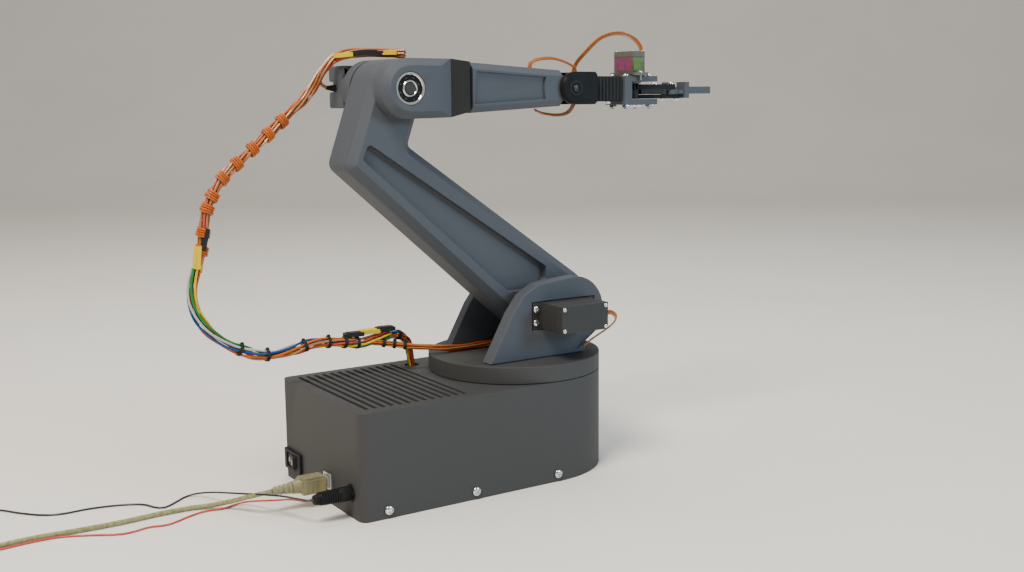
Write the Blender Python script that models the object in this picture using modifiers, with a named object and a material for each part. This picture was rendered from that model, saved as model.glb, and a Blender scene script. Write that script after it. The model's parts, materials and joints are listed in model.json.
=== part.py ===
"""A desktop robot arm on a round-fronted base: yaw, shoulder, elbow, wrist roll, wrist pitch and gripper.

Lengths below are millimetres; every mesh is written in metres. The origin is on the yaw axis, at the
underside of the base. +X points the way the arm reaches, +Z is up.
"""

import math

import bmesh
import bpy
from mathutils import Matrix, Vector

MM = 0.001
GAP = 0.3

# Base
BASE_R = 64.25
BASE_BACK = -160.0
BASE_TOP = 73.2
WALL = 3.0
VENT_COUNT = 13
VENT_PITCH = 6.2
VENT_WIDTH = 2.8
VENT_FIRST_X = -149.6
VENT_Y = (-54.7, 56.8)
BASE_SCREW_X = (-140.7, -73.4, -4.7)
BASE_SCREW_Z = 6.0
WIRE_HOLE = (-62.0, 47.0)
WIRE_HOLE_R = 5.5

# Turntable and the fork that stands on it
DISC_R = 64.25
DISC_TOP = 85.8
SHOULDER = (29.0, 117.0)
SHOULDER_HEAD_R = 26.0
NEAR_CHEEK_Y = (-39.0, -27.5)
FAR_CHEEK_Y = (20.5, 29.0)

# Lower arm
ARM_MID_Y = -3.5
ARM_Y = (-20.5, 13.5)
ARM_SEAM_Y = -13.5
ARM_CHAMFER = 5.4
ELBOW = (-102.8, 279.5)
ELBOW_R = 20.0
UPRIGHT_LEAN = math.radians(19.0)
SHOULDER_END_R = 30.0

# Upper arm
FORK_NEAR_Y = (-37.0, -21.5)
FORK_FAR_Y = (14.5, 28.5)
FORK_BLOCK_X = (-80.6, -74.3)
COLLAR_X = -47.0
FOREARM_X = (-44.7, 36.0)
ROLL_Z = 279.5

# Wrist and gripper
PITCH = (44.5, 279.5)
WRIST_NEAR_Y = (-19.0, -15.3)
WRIST_FAR_Y = (13.0, 16.7)
WRIST_END_X = 65.5
NECK_X = (65.9, 92.6)
GRIPPER_X = (92.9, 125.0)
GRIPPER_Y = (-15.5, 8.5)
GEAR_PITCH_R = 5.4
GEAR_TEETH = 12
GEAR_AXIS_X = 106.7
LINK_AXIS = (113.5, 3.6)
LINK_LENGTH = 34.0
REST_ANGLE = math.radians(8.0)
JAW_TIP_X = 184.0
JAW_GAP = 8.0

# Standard parts
BEARING = (22.0, 8.0, 7.0)
BIG_SERVO = {"long": 40.7, "wide": 19.7, "shaft": 10.2, "ear": 6.9, "flange": (27.0, 29.5), "case": 37.0,
             "boss": 6.5, "boss_top": 37.8, "spline": 2.95, "top": 42.9}
SMALL_SERVO = {"long": 22.8, "wide": 12.2, "shaft": 6.0, "ear": 4.7, "flange": (16.0, 18.5), "case": 22.7,
               "boss": 5.9, "boss_top": 24.4, "spline": 2.4, "top": 28.2}

# Sockets on the rear wall, and cords
USB_Y = -11.7
USB_Z = 15.5
DC_Y = -48.0
DC_Z = 17.0
USB_CABLE_D = 3.4
LEAD_D = 1.4
SUPPLY_COIL_R = 8.0
SUPPLY_COIL_BAND = 2.2
USB_COIL_R = 19.0
USB_COIL_BAND = 5.2
USB_COIL_TOP = 7.2
CORD_END_X = -376.0

TURN = 2 * math.pi
COLOURS = {
    "black_print": ((0.030, 0.032, 0.036), 0.55, 0.0),
    "slate_print": ((0.055, 0.075, 0.095), 0.50, 0.0),
    "servo_case": ((0.020, 0.020, 0.021), 0.40, 0.0),
    "steel": ((0.62, 0.62, 0.60), 0.30, 1.0),
    "board": ((0.02, 0.12, 0.14), 0.50, 0.0),
    "olive": ((0.20, 0.19, 0.08), 0.25, 0.0),
    "rubber": ((0.02, 0.02, 0.02), 0.60, 0.0),
    "red_wire": ((0.55, 0.04, 0.03), 0.45, 0.0),
    "orange_wire": ((0.75, 0.20, 0.05), 0.45, 0.0),
    "brown_wire": ((0.40, 0.20, 0.10), 0.45, 0.0),
}


def clear_scene():
    for obj in list(bpy.data.objects):
        bpy.data.objects.remove(obj)


def collection(name):
    made = bpy.data.collections.new(name)
    bpy.context.scene.collection.children.link(made)
    return made


clear_scene()
PARTS = collection("robot_arm")
CUTTERS = collection("cutters")


def material(name):
    found = bpy.data.materials.get(name)
    if found:
        return found
    colour, roughness, metallic = COLOURS[name]
    made = bpy.data.materials.new(name)
    made.use_nodes = True
    shader = made.node_tree.nodes["Principled BSDF"]
    shader.inputs["Base Color"].default_value = (*colour, 1.0)
    shader.inputs["Roughness"].default_value = roughness
    shader.inputs["Metallic"].default_value = metallic
    return made


def add_object(name, mesh, colour, smooth=False):
    obj = bpy.data.objects.new(name, mesh)
    mesh.materials.clear()
    mesh.materials.append(material(colour))
    if smooth:
        mesh.shade_smooth()
        mesh.set_sharp_from_angle(angle=math.radians(35))
    PARTS.objects.link(obj)
    return obj


def as_cutter(obj):
    PARTS.objects.unlink(obj)
    CUTTERS.objects.link(obj)
    obj.hide_render = True
    obj.display_type = "WIRE"
    return obj


def boolean(obj, tool, operation):
    made = obj.modifiers.new(operation.lower(), "BOOLEAN")
    made.operation = operation
    made.solver = "EXACT"
    made.object = as_cutter(tool)


def cut(obj, *tools):
    for tool in tools:
        boolean(obj, tool, "DIFFERENCE")
    return obj


def join(obj, *tools):
    for tool in tools:
        boolean(obj, tool, "UNION")
    return obj


# Outlines are lists of 2D points in millimetres.

def arc(centre, radius, start, end, steps):
    """Points on a circle from start to end, in degrees."""
    angles = [math.radians(start + (end - start) * i / steps) for i in range(steps + 1)]
    return [(centre[0] + radius * math.cos(a), centre[1] + radius * math.sin(a)) for a in angles]


def circle(centre, radius, steps=32):
    return arc(centre, radius, 0, 360, steps)[:-1]


def fillet(before, corner, after, radius, steps=6):
    """The corner rounded by an arc tangent to both of its sides."""
    corner = Vector(corner)
    to_before = (Vector(before) - corner).normalized()
    to_after = (Vector(after) - corner).normalized()
    half = to_before.angle(to_after) / 2
    reach = radius / math.tan(half)
    centre = corner + (to_before + to_after).normalized() * (radius / math.sin(half))
    start = corner + to_before * reach - centre
    end = corner + to_after * reach - centre
    turn = start.angle_signed(end)
    points = []
    for i in range(steps + 1):
        arm = start.copy()
        arm.rotate(Matrix.Rotation(-turn * i / steps, 2))
        points.append(tuple(centre + arm))
    return points


def rounded(corners, radius, steps=4):
    """A closed polygon with every corner filleted."""
    count = len(corners)
    points = []
    for i, corner in enumerate(corners):
        points += fillet(corners[i - 1], corner, corners[(i + 1) % count], radius, steps)
    return points


AXIS_TURN = {
    "Z": Matrix.Identity(4),
    "Y": Matrix(((1, 0, 0, 0), (0, 0, -1, 0), (0, 1, 0, 0), (0, 0, 0, 1))),
    "X": Matrix(((0, 0, 1, 0), (1, 0, 0, 0), (0, 1, 0, 0), (0, 0, 0, 1))),
}
AXIS_VECTOR = {"X": Vector((1, 0, 0)), "Y": Vector((0, 1, 0)), "Z": Vector((0, 0, 1))}


def weld(mesh, flat=False):
    """Joins a curve's loose caps to its sides, and makes each flat face one polygon if asked."""
    work = bmesh.new()
    work.from_mesh(mesh)
    bmesh.ops.remove_doubles(work, verts=work.verts, dist=1e-6)
    if flat:
        bmesh.ops.dissolve_limit(work, angle_limit=0.001, verts=work.verts, edges=work.edges)
    bmesh.ops.recalc_face_normals(work, faces=work.faces)
    work.to_mesh(mesh)
    work.free()


def curve_mesh(curve):
    """The closed mesh of a curve, which is then removed."""
    obj = bpy.data.objects.new("curve", curve)
    bpy.context.scene.collection.objects.link(obj)
    shape = obj.evaluated_get(bpy.context.evaluated_depsgraph_get())
    mesh = bpy.data.meshes.new_from_object(shape)
    bpy.data.objects.remove(obj)
    return mesh


def prism(name, outlines, axis, low, high, colour, smooth=False):
    """An outline, with any holes after it, extruded along an axis from low to high.

    The outline's own axes are X, Y for axis Z; X, Z for axis Y; and Y, Z for axis X. The curve is filled at
    millimetre size and then scaled, because Blender merges points that are very close when it fills a curve.
    """
    curve = bpy.data.curves.new(name, "CURVE")
    curve.dimensions = "2D"
    curve.fill_mode = "BOTH"
    curve.extrude = (high - low) / 2
    for outline in outlines:
        spline = curve.splines.new("POLY")
        spline.points.add(len(outline) - 1)
        spline.use_cyclic_u = True
        for point, (a, b) in zip(spline.points, outline):
            point.co = (a, b, 0, 1)
    mesh = curve_mesh(curve)
    middle = AXIS_VECTOR[axis] * ((low + high) / 2)
    mesh.transform(Matrix.Scale(MM, 4) @ Matrix.Translation(middle) @ AXIS_TURN[axis])
    weld(mesh, flat=len(outlines) == 1)
    return add_object(name, mesh, colour, smooth)


def box(name, low, high, colour="black_print"):
    work = bmesh.new()
    bmesh.ops.create_cube(work, size=1.0)
    size = [(b - a) * MM for a, b in zip(low, high)]
    middle = [(a + b) / 2 * MM for a, b in zip(low, high)]
    bmesh.ops.scale(work, vec=size, verts=work.verts)
    bmesh.ops.translate(work, vec=middle, verts=work.verts)
    mesh = bpy.data.meshes.new(name)
    work.to_mesh(mesh)
    work.free()
    return add_object(name, mesh, colour)


def rod(name, centre, axis, low, high, radius, colour="steel", steps=32, end_radius=None):
    """A cylinder or cone; centre holds the two coordinates across the axis, in X, Y, Z order."""
    work = bmesh.new()
    bmesh.ops.create_cone(work, cap_ends=True, segments=steps, radius1=radius * MM,
                          radius2=(radius if end_radius is None else end_radius) * MM, depth=(high - low) * MM)
    mesh = bpy.data.meshes.new(name)
    work.to_mesh(mesh)
    work.free()
    place = list(centre)
    place.insert("XYZ".index(axis), (low + high) / 2)
    lay = {"Z": Matrix.Identity(4), "X": Matrix.Rotation(math.pi / 2, 4, "Y"),
           "Y": Matrix.Rotation(-math.pi / 2, 4, "X")}[axis]
    mesh.transform(Matrix.Translation(Vector(place) * MM) @ lay)
    return add_object(name, mesh, colour, smooth=True)


def ring(name, centre, axis, low, high, outer, inner, colour="steel", steps=32):
    return prism(name, [circle(centre, outer, steps), circle(centre, inner, steps)], axis, low, high, colour,
                 smooth=True)


def bevel_rim(obj, axis, level, width):
    """Chamfers the outer edge of the flat face that lies at this level along the axis."""
    index = "XYZ".index(axis)
    work = bmesh.new()
    work.from_mesh(obj.data)
    edges = []
    for edge in work.edges:
        on_face = all(abs(vert.co[index] - level * MM) < 1e-6 for vert in edge.verts)
        if on_face and abs(edge.link_faces[0].normal.dot(edge.link_faces[1].normal)) < 0.5:
            edges.append(edge)
    bmesh.ops.bevel(work, geom=edges, offset=width * MM, segments=1, affect="EDGES")
    work.to_mesh(obj.data)
    work.free()
    return obj


def move_mesh(obj, turn):
    obj.data.transform(turn)
    return obj


def smooth_route(route, spacing):
    """Evenly spaced points on a smooth curve through the route's points."""
    points = [Vector(point) for point in route]
    points = [points[0] * 2 - points[1]] + points + [points[-1] * 2 - points[-2]]
    fine = []
    for before, start, end, after in zip(points, points[1:], points[2:], points[3:]):
        for i in range(24):
            t = i / 24
            square = 2 * before - 5 * start + 4 * end - after
            cube = 3 * start - before - 3 * end + after
            fine.append(0.5 * (2 * start + (end - before) * t + square * t ** 2 + cube * t ** 3))
    fine.append(points[-2])
    length = sum((b - a).length for a, b in zip(fine, fine[1:]))
    count = max(2, round(length / spacing))
    even = [fine[0]]
    walked = 0.0
    for a, b in zip(fine, fine[1:]):
        step = (b - a).length
        while len(even) < count and walked + step >= length * len(even) / count:
            even.append(a.lerp(b, (length * len(even) / count - walked) / step))
        walked += step
    return even + [fine[-1]]


def tube(name, route, diameter, colour, spacing=2.5):
    """A round cord through the route's points."""
    curve = bpy.data.curves.new(name, "CURVE")
    curve.dimensions = "3D"
    curve.bevel_depth = diameter / 2 * MM
    curve.bevel_resolution = 2
    curve.use_fill_caps = True
    points = smooth_route(route, diameter * spacing)
    spline = curve.splines.new("POLY")
    spline.points.add(len(points) - 1)
    for place, point in zip(spline.points, points):
        place.co = (*(point * MM), 1)
    mesh = curve_mesh(curve)
    weld(mesh)
    return add_object(name, mesh, colour, smooth=True)


def turned(name, profile, centre, colour, steps=32):
    """A ring solid: a closed profile of (radius, height) points swept about an upright axis."""
    mesh = bpy.data.meshes.new(name)
    count = len(profile)
    edges = [(i, (i + 1) % count) for i in range(count)]
    mesh.from_pydata([(r * MM, 0, z * MM) for r, z in profile], edges, [])
    obj = add_object(name, mesh, colour)
    obj.location = Vector(centre) * MM
    screw = obj.modifiers.new("screw", "SCREW")
    screw.steps = screw.render_steps = steps
    screw.use_merge_vertices = True
    screw.merge_threshold = 1e-6
    screw.use_smooth_shade = True
    return obj


# Standard parts

def servo(name, size, place):
    """A servo with its shaft on local Z and its back at z = 0; its body runs along local +X from the shaft."""
    start = -size["shaft"]
    end = size["long"] - size["shaft"]
    half = size["wide"] / 2
    body = box(name, (start, -half, 0), (end, half, size["case"]), "servo_case")
    pieces = [body]
    if size["ear"]:
        low, high = size["flange"]
        pieces.append(box(name + "_flange", (start - size["ear"], -half, low),
                          (end + size["ear"], half, high)))
    boss_top = size["boss_top"]
    pieces.append(rod(name + "_boss", (0, 0), "Z", size["case"] - 2, boss_top, size["boss"] - 0.4, steps=24))
    pieces.append(rod(name + "_spline", (0, 0), "Z", boss_top - 2, size["top"], size["spline"], steps=16))
    for piece in pieces:
        move_mesh(piece, place)
    return join(*pieces)


def placed(origin, shaft, along):
    """The placement of a servo whose shaft points along one axis and whose body runs along another."""
    shaft = Vector(shaft)
    along = Vector(along)
    across = shaft.cross(along)
    turn = Matrix((along, across, shaft)).transposed().to_4x4()
    return Matrix.Translation(Vector(origin) * MM) @ turn


# Base

def base_outline(inset):
    back = BASE_BACK + inset
    half = BASE_R - inset
    corner = 6.0 - min(inset, 3.5)
    front = arc((0, 0), half, -90, 90, 40)
    rear_left = fillet((0, half), (back, half), (back, -half), corner)
    rear_right = fillet((back, half), (back, -half), (0, -half), corner)
    return front + rear_left + rear_right


def base_shell():
    shell = prism("base_shell", [base_outline(0)], "Z", 0, BASE_TOP, "black_print")
    cut(shell, prism("base_hollow", [base_outline(WALL)], "Z", -1, BASE_TOP - WALL, "black_print"))
    for i in range(VENT_COUNT):
        x = VENT_FIRST_X + i * VENT_PITCH
        cut(shell, box(f"vent_cutter_{i + 1}", (x - VENT_WIDTH / 2, VENT_Y[0], BASE_TOP - WALL - 1),
                       (x + VENT_WIDTH / 2, VENT_Y[1], BASE_TOP + 1)))
    cut(shell, box("yaw_servo_opening", (-30.9, -10.2, BASE_TOP - WALL - 1), (10.6, 10.2, BASE_TOP + 1)))
    cut(shell, rod("wire_hole", WIRE_HOLE, "Z", BASE_TOP - WALL - 1, BASE_TOP + 1, WIRE_HOLE_R, steps=24))
    for side in (-1, 1):
        for x in BASE_SCREW_X:
            reach = sorted((side * 60, side * 66))
            cut(shell, rod("screw_hole", (x, BASE_SCREW_Z), "Y", *reach, 1.8, steps=12))
    usb_low = (BASE_BACK - 1, USB_Y - 6.5, USB_Z - 6.2)
    cut(shell, box("usb_opening", usb_low, (BASE_BACK + 4, USB_Y + 6.5, USB_Z + 6.2)))
    cut(shell, rod("dc_opening", (DC_Y, DC_Z), "X", BASE_BACK - 1, BASE_BACK + 4, 6.1, steps=24))
    cut(shell, box("switch_opening", (BASE_BACK - 1, 36.6, 8.7), (BASE_BACK + 4, 55.8, 21.7)))
    return shell


def base_floor():
    floor = prism("base_floor", [base_outline(WALL + GAP)], "Z", 0, 3.0, "black_print")
    for side in (-1, 1):
        for i, x in enumerate(BASE_SCREW_X):
            y = sorted((side * (BASE_R - WALL - GAP - 9), side * (BASE_R - WALL - GAP - 0.6)))
            join(floor, box(f"floor_boss_{i}", (x - 5, y[0], 2.5), (x + 5, y[1], 10.0)))
            reach = sorted((side * 54, side * 62))
            cut(floor, rod("boss_hole", (x, BASE_SCREW_Z), "Y", *reach, 1.8, steps=12))
    return floor


def base_screw(name, x, side):
    shank = rod(name, (x, BASE_SCREW_Z), "Y", *sorted((side * 56, side * (BASE_R + 1.2))), 1.4, steps=12)
    under_head, top = side * (BASE_R + GAP), side * (BASE_R + 2.1)
    head = rod(name + "_head", (x, BASE_SCREW_Z), "Y", *sorted((under_head, top)), 3.2, steps=20)
    return join(shank, head)


def control_board():
    board = box("control_board", (-155.5, -51.5, 6.0), (-87.0, 1.8, 7.6), "board")
    join(board, box("board_chip", (-125.0, -35.0, 7.0), (-90.0, -26.0, 11.0)))
    join(board, box("board_header", (-138.0, -50.0, 7.0), (-92.0, -47.5, 15.0)))
    return board


def usb_socket():
    low = (BASE_BACK - 0.8, USB_Y - 6.0, USB_Z - 5.7)
    socket = box("usb_socket", low, (BASE_BACK + 15.0, USB_Y + 6.0, USB_Z + 5.7), "steel")
    mouth_low = (BASE_BACK - 2, USB_Y - 4.2, USB_Z - 4.1)
    return cut(socket, box("usb_mouth", mouth_low, (BASE_BACK + 9.0, USB_Y + 4.2, USB_Z + 4.1)))


def dc_socket():
    socket = rod("dc_socket", (DC_Y, DC_Z), "X", BASE_BACK - 0.4, BASE_BACK + 13.0, 5.7, "rubber", steps=24)
    return cut(socket, rod("dc_mouth", (DC_Y, DC_Z), "X", BASE_BACK - 1, BASE_BACK + 9.5, 3.2, steps=24))


def switch_frame():
    """The rocker's bezel on the rear wall, hollow through to the inside of the base."""
    frame = box("switch_frame", (BASE_BACK - 2.4, 31.0, 7.7), (BASE_BACK - GAP, 58.7, 22.7))
    join(frame, box("switch_body", (BASE_BACK - 1, 37.0, 9.1), (BASE_BACK + 12.0, 55.4, 21.3)))
    return cut(frame, box("switch_well", (BASE_BACK - 4, 38.4, 10.4), (BASE_BACK + 13.0, 54.0, 20.0)))


def switch_rocker():
    """A shallow V in plan, so that one half stands out of the bezel; it rocks on an upright axis."""
    middle = 46.2
    x = BASE_BACK - 2.4
    outline = [(x - 0.2, middle), (x - 2.2, middle - 7.3), (x + 5.0, middle - 7.0), (x + 7.0, middle),
               (x + 6.0, middle + 6.0), (x + 0.9, middle + 7.3)]
    return prism("switch_rocker", [outline], "Z", 10.8, 19.6, "rubber")


def base_parts():
    base_shell()
    base_floor()
    number = 0
    for side in (-1, 1):
        for x in BASE_SCREW_X:
            number += 1
            base_screw(f"base_screw_{number}", x, side)
    servo("yaw_servo", BIG_SERVO, placed((0, 0, 36.0), (0, 0, 1), (-1, 0, 0)))
    control_board()
    usb_socket()
    dc_socket()
    switch_frame()
    switch_rocker()


# Cords on the table

USB_ROUTE = [(-201.1, USB_Y, USB_Z), (-205, USB_Y, USB_Z - 0.2), (-208.5, -7, 13.5), (-212, 2, 10),
             (-216, 12, 6),
             (-226, 22, 2.6), (-244, 27.5, 1.8), (-265, 26.5, 1.8), (-291, 24.5, 1.8), (-316, 25, 1.8),
             (-336, 26.5, 1.8), (-352, 27, 1.8), (-364, 27, 1.8), (CORD_END_X, 27, 1.8)]
RED_ROUTE = [(-187.2, DC_Y + 1.2, DC_Z - 0.6), (-190.2, DC_Y + 1.2, DC_Z - 0.6), (-192.2, -41, 15.8),
             (-195, -28, 13.5), (-199.5, -13, 9.5), (-204, 2, 5.8), (-208.5, 14, 2.6), (-214, 18, 1.1),
             (-225, 15, 0.9), (-237, 17, 0.9), (-249, 13, 0.9), (-261, 7, 0.9), (-268, 5.5, 0.9),
             (-277, 8, 0.9),
             (-287, 5.5, 0.9), (-297, 6, 0.9), (-313, 15, 0.9), (-329, 22.5, 0.9), (-341, 23.8, 0.9),
             (-353, 23.2, 0.9), (-364, 20.8, 0.9), (CORD_END_X, 20, 0.9)]
BLACK_ROUTE = [(-187.2, DC_Y - 1.2, DC_Z + 0.8), (-190.4, DC_Y - 1.2, DC_Z + 0.8), (-194.5, -41, 17.4),
               (-199, -28, 16.4), (-206.5, -16, 15.5),
               (-214, -3, 14), (-220, 16, 10.5), (-224.5, 35, 6.5), (-230, 51, 2.4), (-238, 54, 0.9),
               (-248, 46, 0.9), (-257, 40, 0.9), (-262.5, 44, 0.9), (-268, 55, 0.9), (-282, 62.5, 0.9),
               (-300, 66.5, 0.9), (-318, 66.5, 0.9), (-330, 72, 0.9), (-341, 84, 0.9), (-351, 98, 0.9),
               (-362, 107.5, 0.9), (CORD_END_X, 110, 0.9)]


def plug_parts():
    """The USB plug's hood and shell, and the barrel plug, with the cords that leave them."""
    hood = box("usb_plug", (-181.5, USB_Y - 6.8, USB_Z - 5.6), (-162.0, USB_Y + 6.8, USB_Z + 5.6), "olive")
    join(hood, box("usb_plug_shell", (-163, USB_Y - 3.9, USB_Z - 3.8), (-152.0, USB_Y + 3.9, USB_Z + 3.8)))
    join(hood, rod("usb_plug_relief", (USB_Y, USB_Z), "X", -200.5, -180.5, 2.6, steps=16, end_radius=4.8))
    plug = rod("dc_plug", (DC_Y, DC_Z), "X", -186.8, -161.0, 5.0, "rubber", steps=20)
    join(plug, rod("dc_plug_barrel", (DC_Y, DC_Z), "X", -162, -151.0, 2.75, steps=16))
    tube("usb_cable", USB_ROUTE, USB_CABLE_D, "olive", 2.0)
    tube("red_wire", RED_ROUTE, LEAD_D, "red_wire", 3.0)
    tube("black_wire", BLACK_ROUTE, LEAD_D, "rubber", 3.0)


def coil(name, cord_end, side, mean_radius, band, top, colour):
    """The outer shape of a wound cord lying on the table: its cord runs in along -X and turns to one side."""
    x, y, z = cord_end
    inner = mean_radius - band
    outer = mean_radius + band
    reach = math.sqrt(outer ** 2 - (mean_radius - z) ** 2)
    profile = [(inner, 1.0), (inner, top - 1), (inner + 1, top), (outer - 1, top), (outer, top - 1),
               (outer, 1.0),
               (outer - 1, 0.05), (inner + 1, 0.05)]
    centre = (x - reach - GAP, y + side * mean_radius, 0)
    turned(name, profile, centre, colour)
    return centre


def coil_parts():
    x, y, _ = coil("usb_cable_coil", USB_ROUTE[-1], 1, USB_COIL_R, USB_COIL_BAND, USB_COIL_TOP, "olive")
    low = USB_COIL_TOP + GAP
    plug = box("usb_a_plug", (x - 18.0, y - 8.0, low), (x + 10.0, y + 8.0, low + 8.0), "olive")
    join(plug, box("usb_a_shell", (x + 9.0, y - 6.0, low + 1.8), (x + 22.0, y + 6.0, low + 6.3)))
    coil("red_wire_coil", RED_ROUTE[-1], -1, SUPPLY_COIL_R, SUPPLY_COIL_BAND, 3.2, "red_wire")
    coil("black_wire_coil", BLACK_ROUTE[-1], 1, SUPPLY_COIL_R, SUPPLY_COIL_BAND, 3.2, "rubber")


# Waist: turntable, fork cheeks and shoulder servo

def turntable():
    disc = rod("turntable", (0, 0), "Z", BASE_TOP + GAP, DISC_TOP, DISC_R, "black_print", steps=96)
    return cut(disc, rod("horn_pocket", (0, 0), "Z", BASE_TOP - 1, 80.0, 11.0, steps=24))


def cheek_outline():
    x, z = SHOULDER
    foot = DISC_TOP + GAP
    head = arc(SHOULDER, SHOULDER_HEAD_R, -35, 98, 16)
    rear = [(-26.0, 120.0), (-16.0, 133.0), (-3.0, 140.2)]
    return [(38.0, foot), (39.0, 94.0), (x + 14.5, z - 20.0)] + head + rear[::-1] + [(-45.0, foot)]


def near_cheek():
    cheek = prism("waist_near_cheek", [cheek_outline()], "Y", *NEAR_CHEEK_Y, "slate_print")
    x, z = SHOULDER
    low, high = NEAR_CHEEK_Y
    case = box("shoulder_case_opening", (x - 30.9, low - 1, z - 10.2), (x + 10.6, high + 1, z + 10.2))
    ears = box("shoulder_ear_recess", (x - 38.0, low - 1, z - 10.2), (x + 17.7, low + 3.3, z + 10.2))
    return cut(cheek, case, ears)


def far_cheek():
    """The bearing sits in a pocket from the outer side, and the pin passes a smaller hole."""
    cheek = prism("waist_far_cheek", [cheek_outline()], "Y", *FAR_CHEEK_Y, "slate_print")
    pocket = rod("bearing_pocket_s", SHOULDER, "Y", 21.9, 30.0, BEARING[0] / 2 + 0.15)
    hole = rod("pin_hole_s", SHOULDER, "Y", 19.0, 23.0, 6.5, steps=24)
    return cut(cheek, pocket, hole)


def waist_parts():
    turntable()
    ring("yaw_horn", (0, 0), "Z", 74.1, 79.6, 10.0, 3.15)
    near_cheek()
    far_cheek()
    servo("shoulder_servo", BIG_SERVO, placed((SHOULDER[0], -65.5, SHOULDER[1]), (0, 1, 0), (-1, 0, 0)))
    ring("shoulder_bearing", SHOULDER, "Y", 22.1, 28.9, BEARING[0] / 2, BEARING[1] / 2 + 0.2)
    route = [(40.0, -61.0, 118.0), (46.5, -59.5, 117.5), (54.0, -55.5, 113.0), (55.5, -51.0, 107.5),
             (50.0, -47.5, 102.0), (42.0, -44.0, 96.5), (34.0, -42.6, 91.5)]
    tube("shoulder_servo_cable", route, 3.6, "orange_wire")


# Lower arm

def arm_points():
    """The lower arm's side outline: a leaning upright that turns through a corner into the long beam."""
    elbow = Vector(ELBOW)
    shoulder = Vector(SHOULDER)
    down = Vector((-math.sin(UPRIGHT_LEAN), -math.cos(UPRIGHT_LEAN)))
    rear = Vector((-math.cos(UPRIGHT_LEAN), math.sin(UPRIGHT_LEAN)))
    inner = elbow - rear * ELBOW_R + down * 33.8
    corner = elbow + rear * ELBOW_R + down * 61.9
    lean = math.degrees(UPRIGHT_LEAN)
    to_inner = shoulder - inner
    to_corner = shoulder - corner
    top = math.degrees(math.atan2(to_inner.y, to_inner.x) + math.asin(SHOULDER_END_R / to_inner.length))
    bottom = math.degrees(math.atan2(to_corner.y, to_corner.x) - math.asin(SHOULDER_END_R / to_corner.length))
    elbow_end = arc(ELBOW, ELBOW_R, 180 - lean, -lean, 20)
    shoulder_end = arc(SHOULDER, SHOULDER_END_R, top + 90, bottom - 90, 24)
    inside = fillet(elbow_end[-1], inner, shoulder_end[0], 4.0, 4)
    outside = fillet(shoulder_end[-1], corner, elbow_end[0], 7.5, 5)
    return elbow_end + inside + shoulder_end + outside


def arm_pocket():
    """The long recess in the near half."""
    corners = [(-126.5, 243.5), (-131.0, 233.0), (-17.0, 133.5), (8.0, 133.5), (16.0, 141.0), (16.0, 149.5)]
    return prism("arm_pocket", [rounded(corners, 2.5, 3)], "Y", ARM_Y[0] - 1, ARM_Y[0] + 5.2, "black_print")


def lower_arm_parts():
    outline = arm_points()
    near = prism("lower_arm_near", [outline], "Y", ARM_Y[0], ARM_SEAM_Y, "slate_print")
    cut(bevel_rim(near, "Y", ARM_Y[0], ARM_CHAMFER), arm_pocket())
    prism("lower_arm_far", [outline], "Y", ARM_SEAM_Y + GAP, ARM_Y[1], "slate_print")
    ring("shoulder_horn", SHOULDER, "Y", -27.4, ARM_Y[0] - GAP, 10.0, 3.15)
    pin = rod("shoulder_pin", SHOULDER, "Y", ARM_Y[1] + GAP, 28.6, BEARING[1] / 2)
    join(pin, rod("shoulder_pin_flange", SHOULDER, "Y", ARM_Y[1] + GAP, 16.5, 9.0))
    ring("elbow_horn", ELBOW, "Y", ARM_Y[1] + GAP, 20.2, 10.0, 3.15)
    rod("elbow_pin", ELBOW, "Y", FORK_NEAR_Y[0] + 0.3, ARM_Y[0] - GAP, BEARING[1] / 2 - 0.2)
    ring("elbow_bearing_inner", ELBOW, "Y", FORK_NEAR_Y[0] + 0.4, FORK_NEAR_Y[0] + 7.0, 6.1,
         BEARING[1] / 2 + 0.1)


# Upper arm: elbow fork with the collar, its servo and bearing

def fork_side():
    return (arc(ELBOW, ELBOW_R, 270, 90, 20)
            + [(FORK_BLOCK_X[1], ELBOW[1] + ELBOW_R), (COLLAR_X, ROLL_Z + 18.4), (COLLAR_X, ROLL_Z - 16.0),
               (FORK_BLOCK_X[1], ELBOW[1] - ELBOW_R)])


def elbow_fork():
    """A fork whose plan outline is kept inside its side and end outlines, so every face is a true flat."""
    rear = ELBOW[0] - ELBOW_R - 2
    near_out, near_in = FORK_NEAR_Y
    far_in, far_out = FORK_FAR_Y
    plan = [(rear, near_out), (FORK_BLOCK_X[1], near_out), (COLLAR_X, -20.0), (COLLAR_X, 13.0),
            (FORK_BLOCK_X[1], far_out), (rear, far_out), (rear, far_in), (FORK_BLOCK_X[0], far_in),
            (FORK_BLOCK_X[0], near_in), (rear, near_in)]
    fork = prism("elbow_fork", [plan], "Z", ELBOW[1] - 22, ELBOW[1] + 22, "slate_print")
    boolean(fork, prism("fork_side", [fork_side()], "Y", -45, 45, "slate_print"), "INTERSECT")
    bearing = rod("bearing_pocket_e", ELBOW, "Y", near_out - 1, near_out + 7.3, BEARING[0] / 2 + 0.15)
    pin = rod("pin_hole_e", ELBOW, "Y", near_out + 6, near_in + 1, 6.5, steps=24)
    case = box("elbow_case_opening", (ELBOW[0] - 10.6, 20.9, ELBOW[1] - 10.2),
               (ELBOW[0] + 30.9, 30.0, ELBOW[1] + 10.2))
    horn = rod("elbow_horn_hole", ELBOW, "Y", far_in - 1, 22.0, 10.4)
    back = FORK_BLOCK_X[0] - 1
    roll_case = box("roll_case_opening", (back, ARM_MID_Y - 6.4, ROLL_Z - 17.2),
                    (-53.2, ARM_MID_Y + 6.4, ROLL_Z + 6.4))
    roll_horn = rod("roll_horn_hole", (ARM_MID_Y, ROLL_Z), "X", -54.5, COLLAR_X + 1, 9.4)
    return cut(fork, bearing, pin, case, horn, roll_case, roll_horn)


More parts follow.
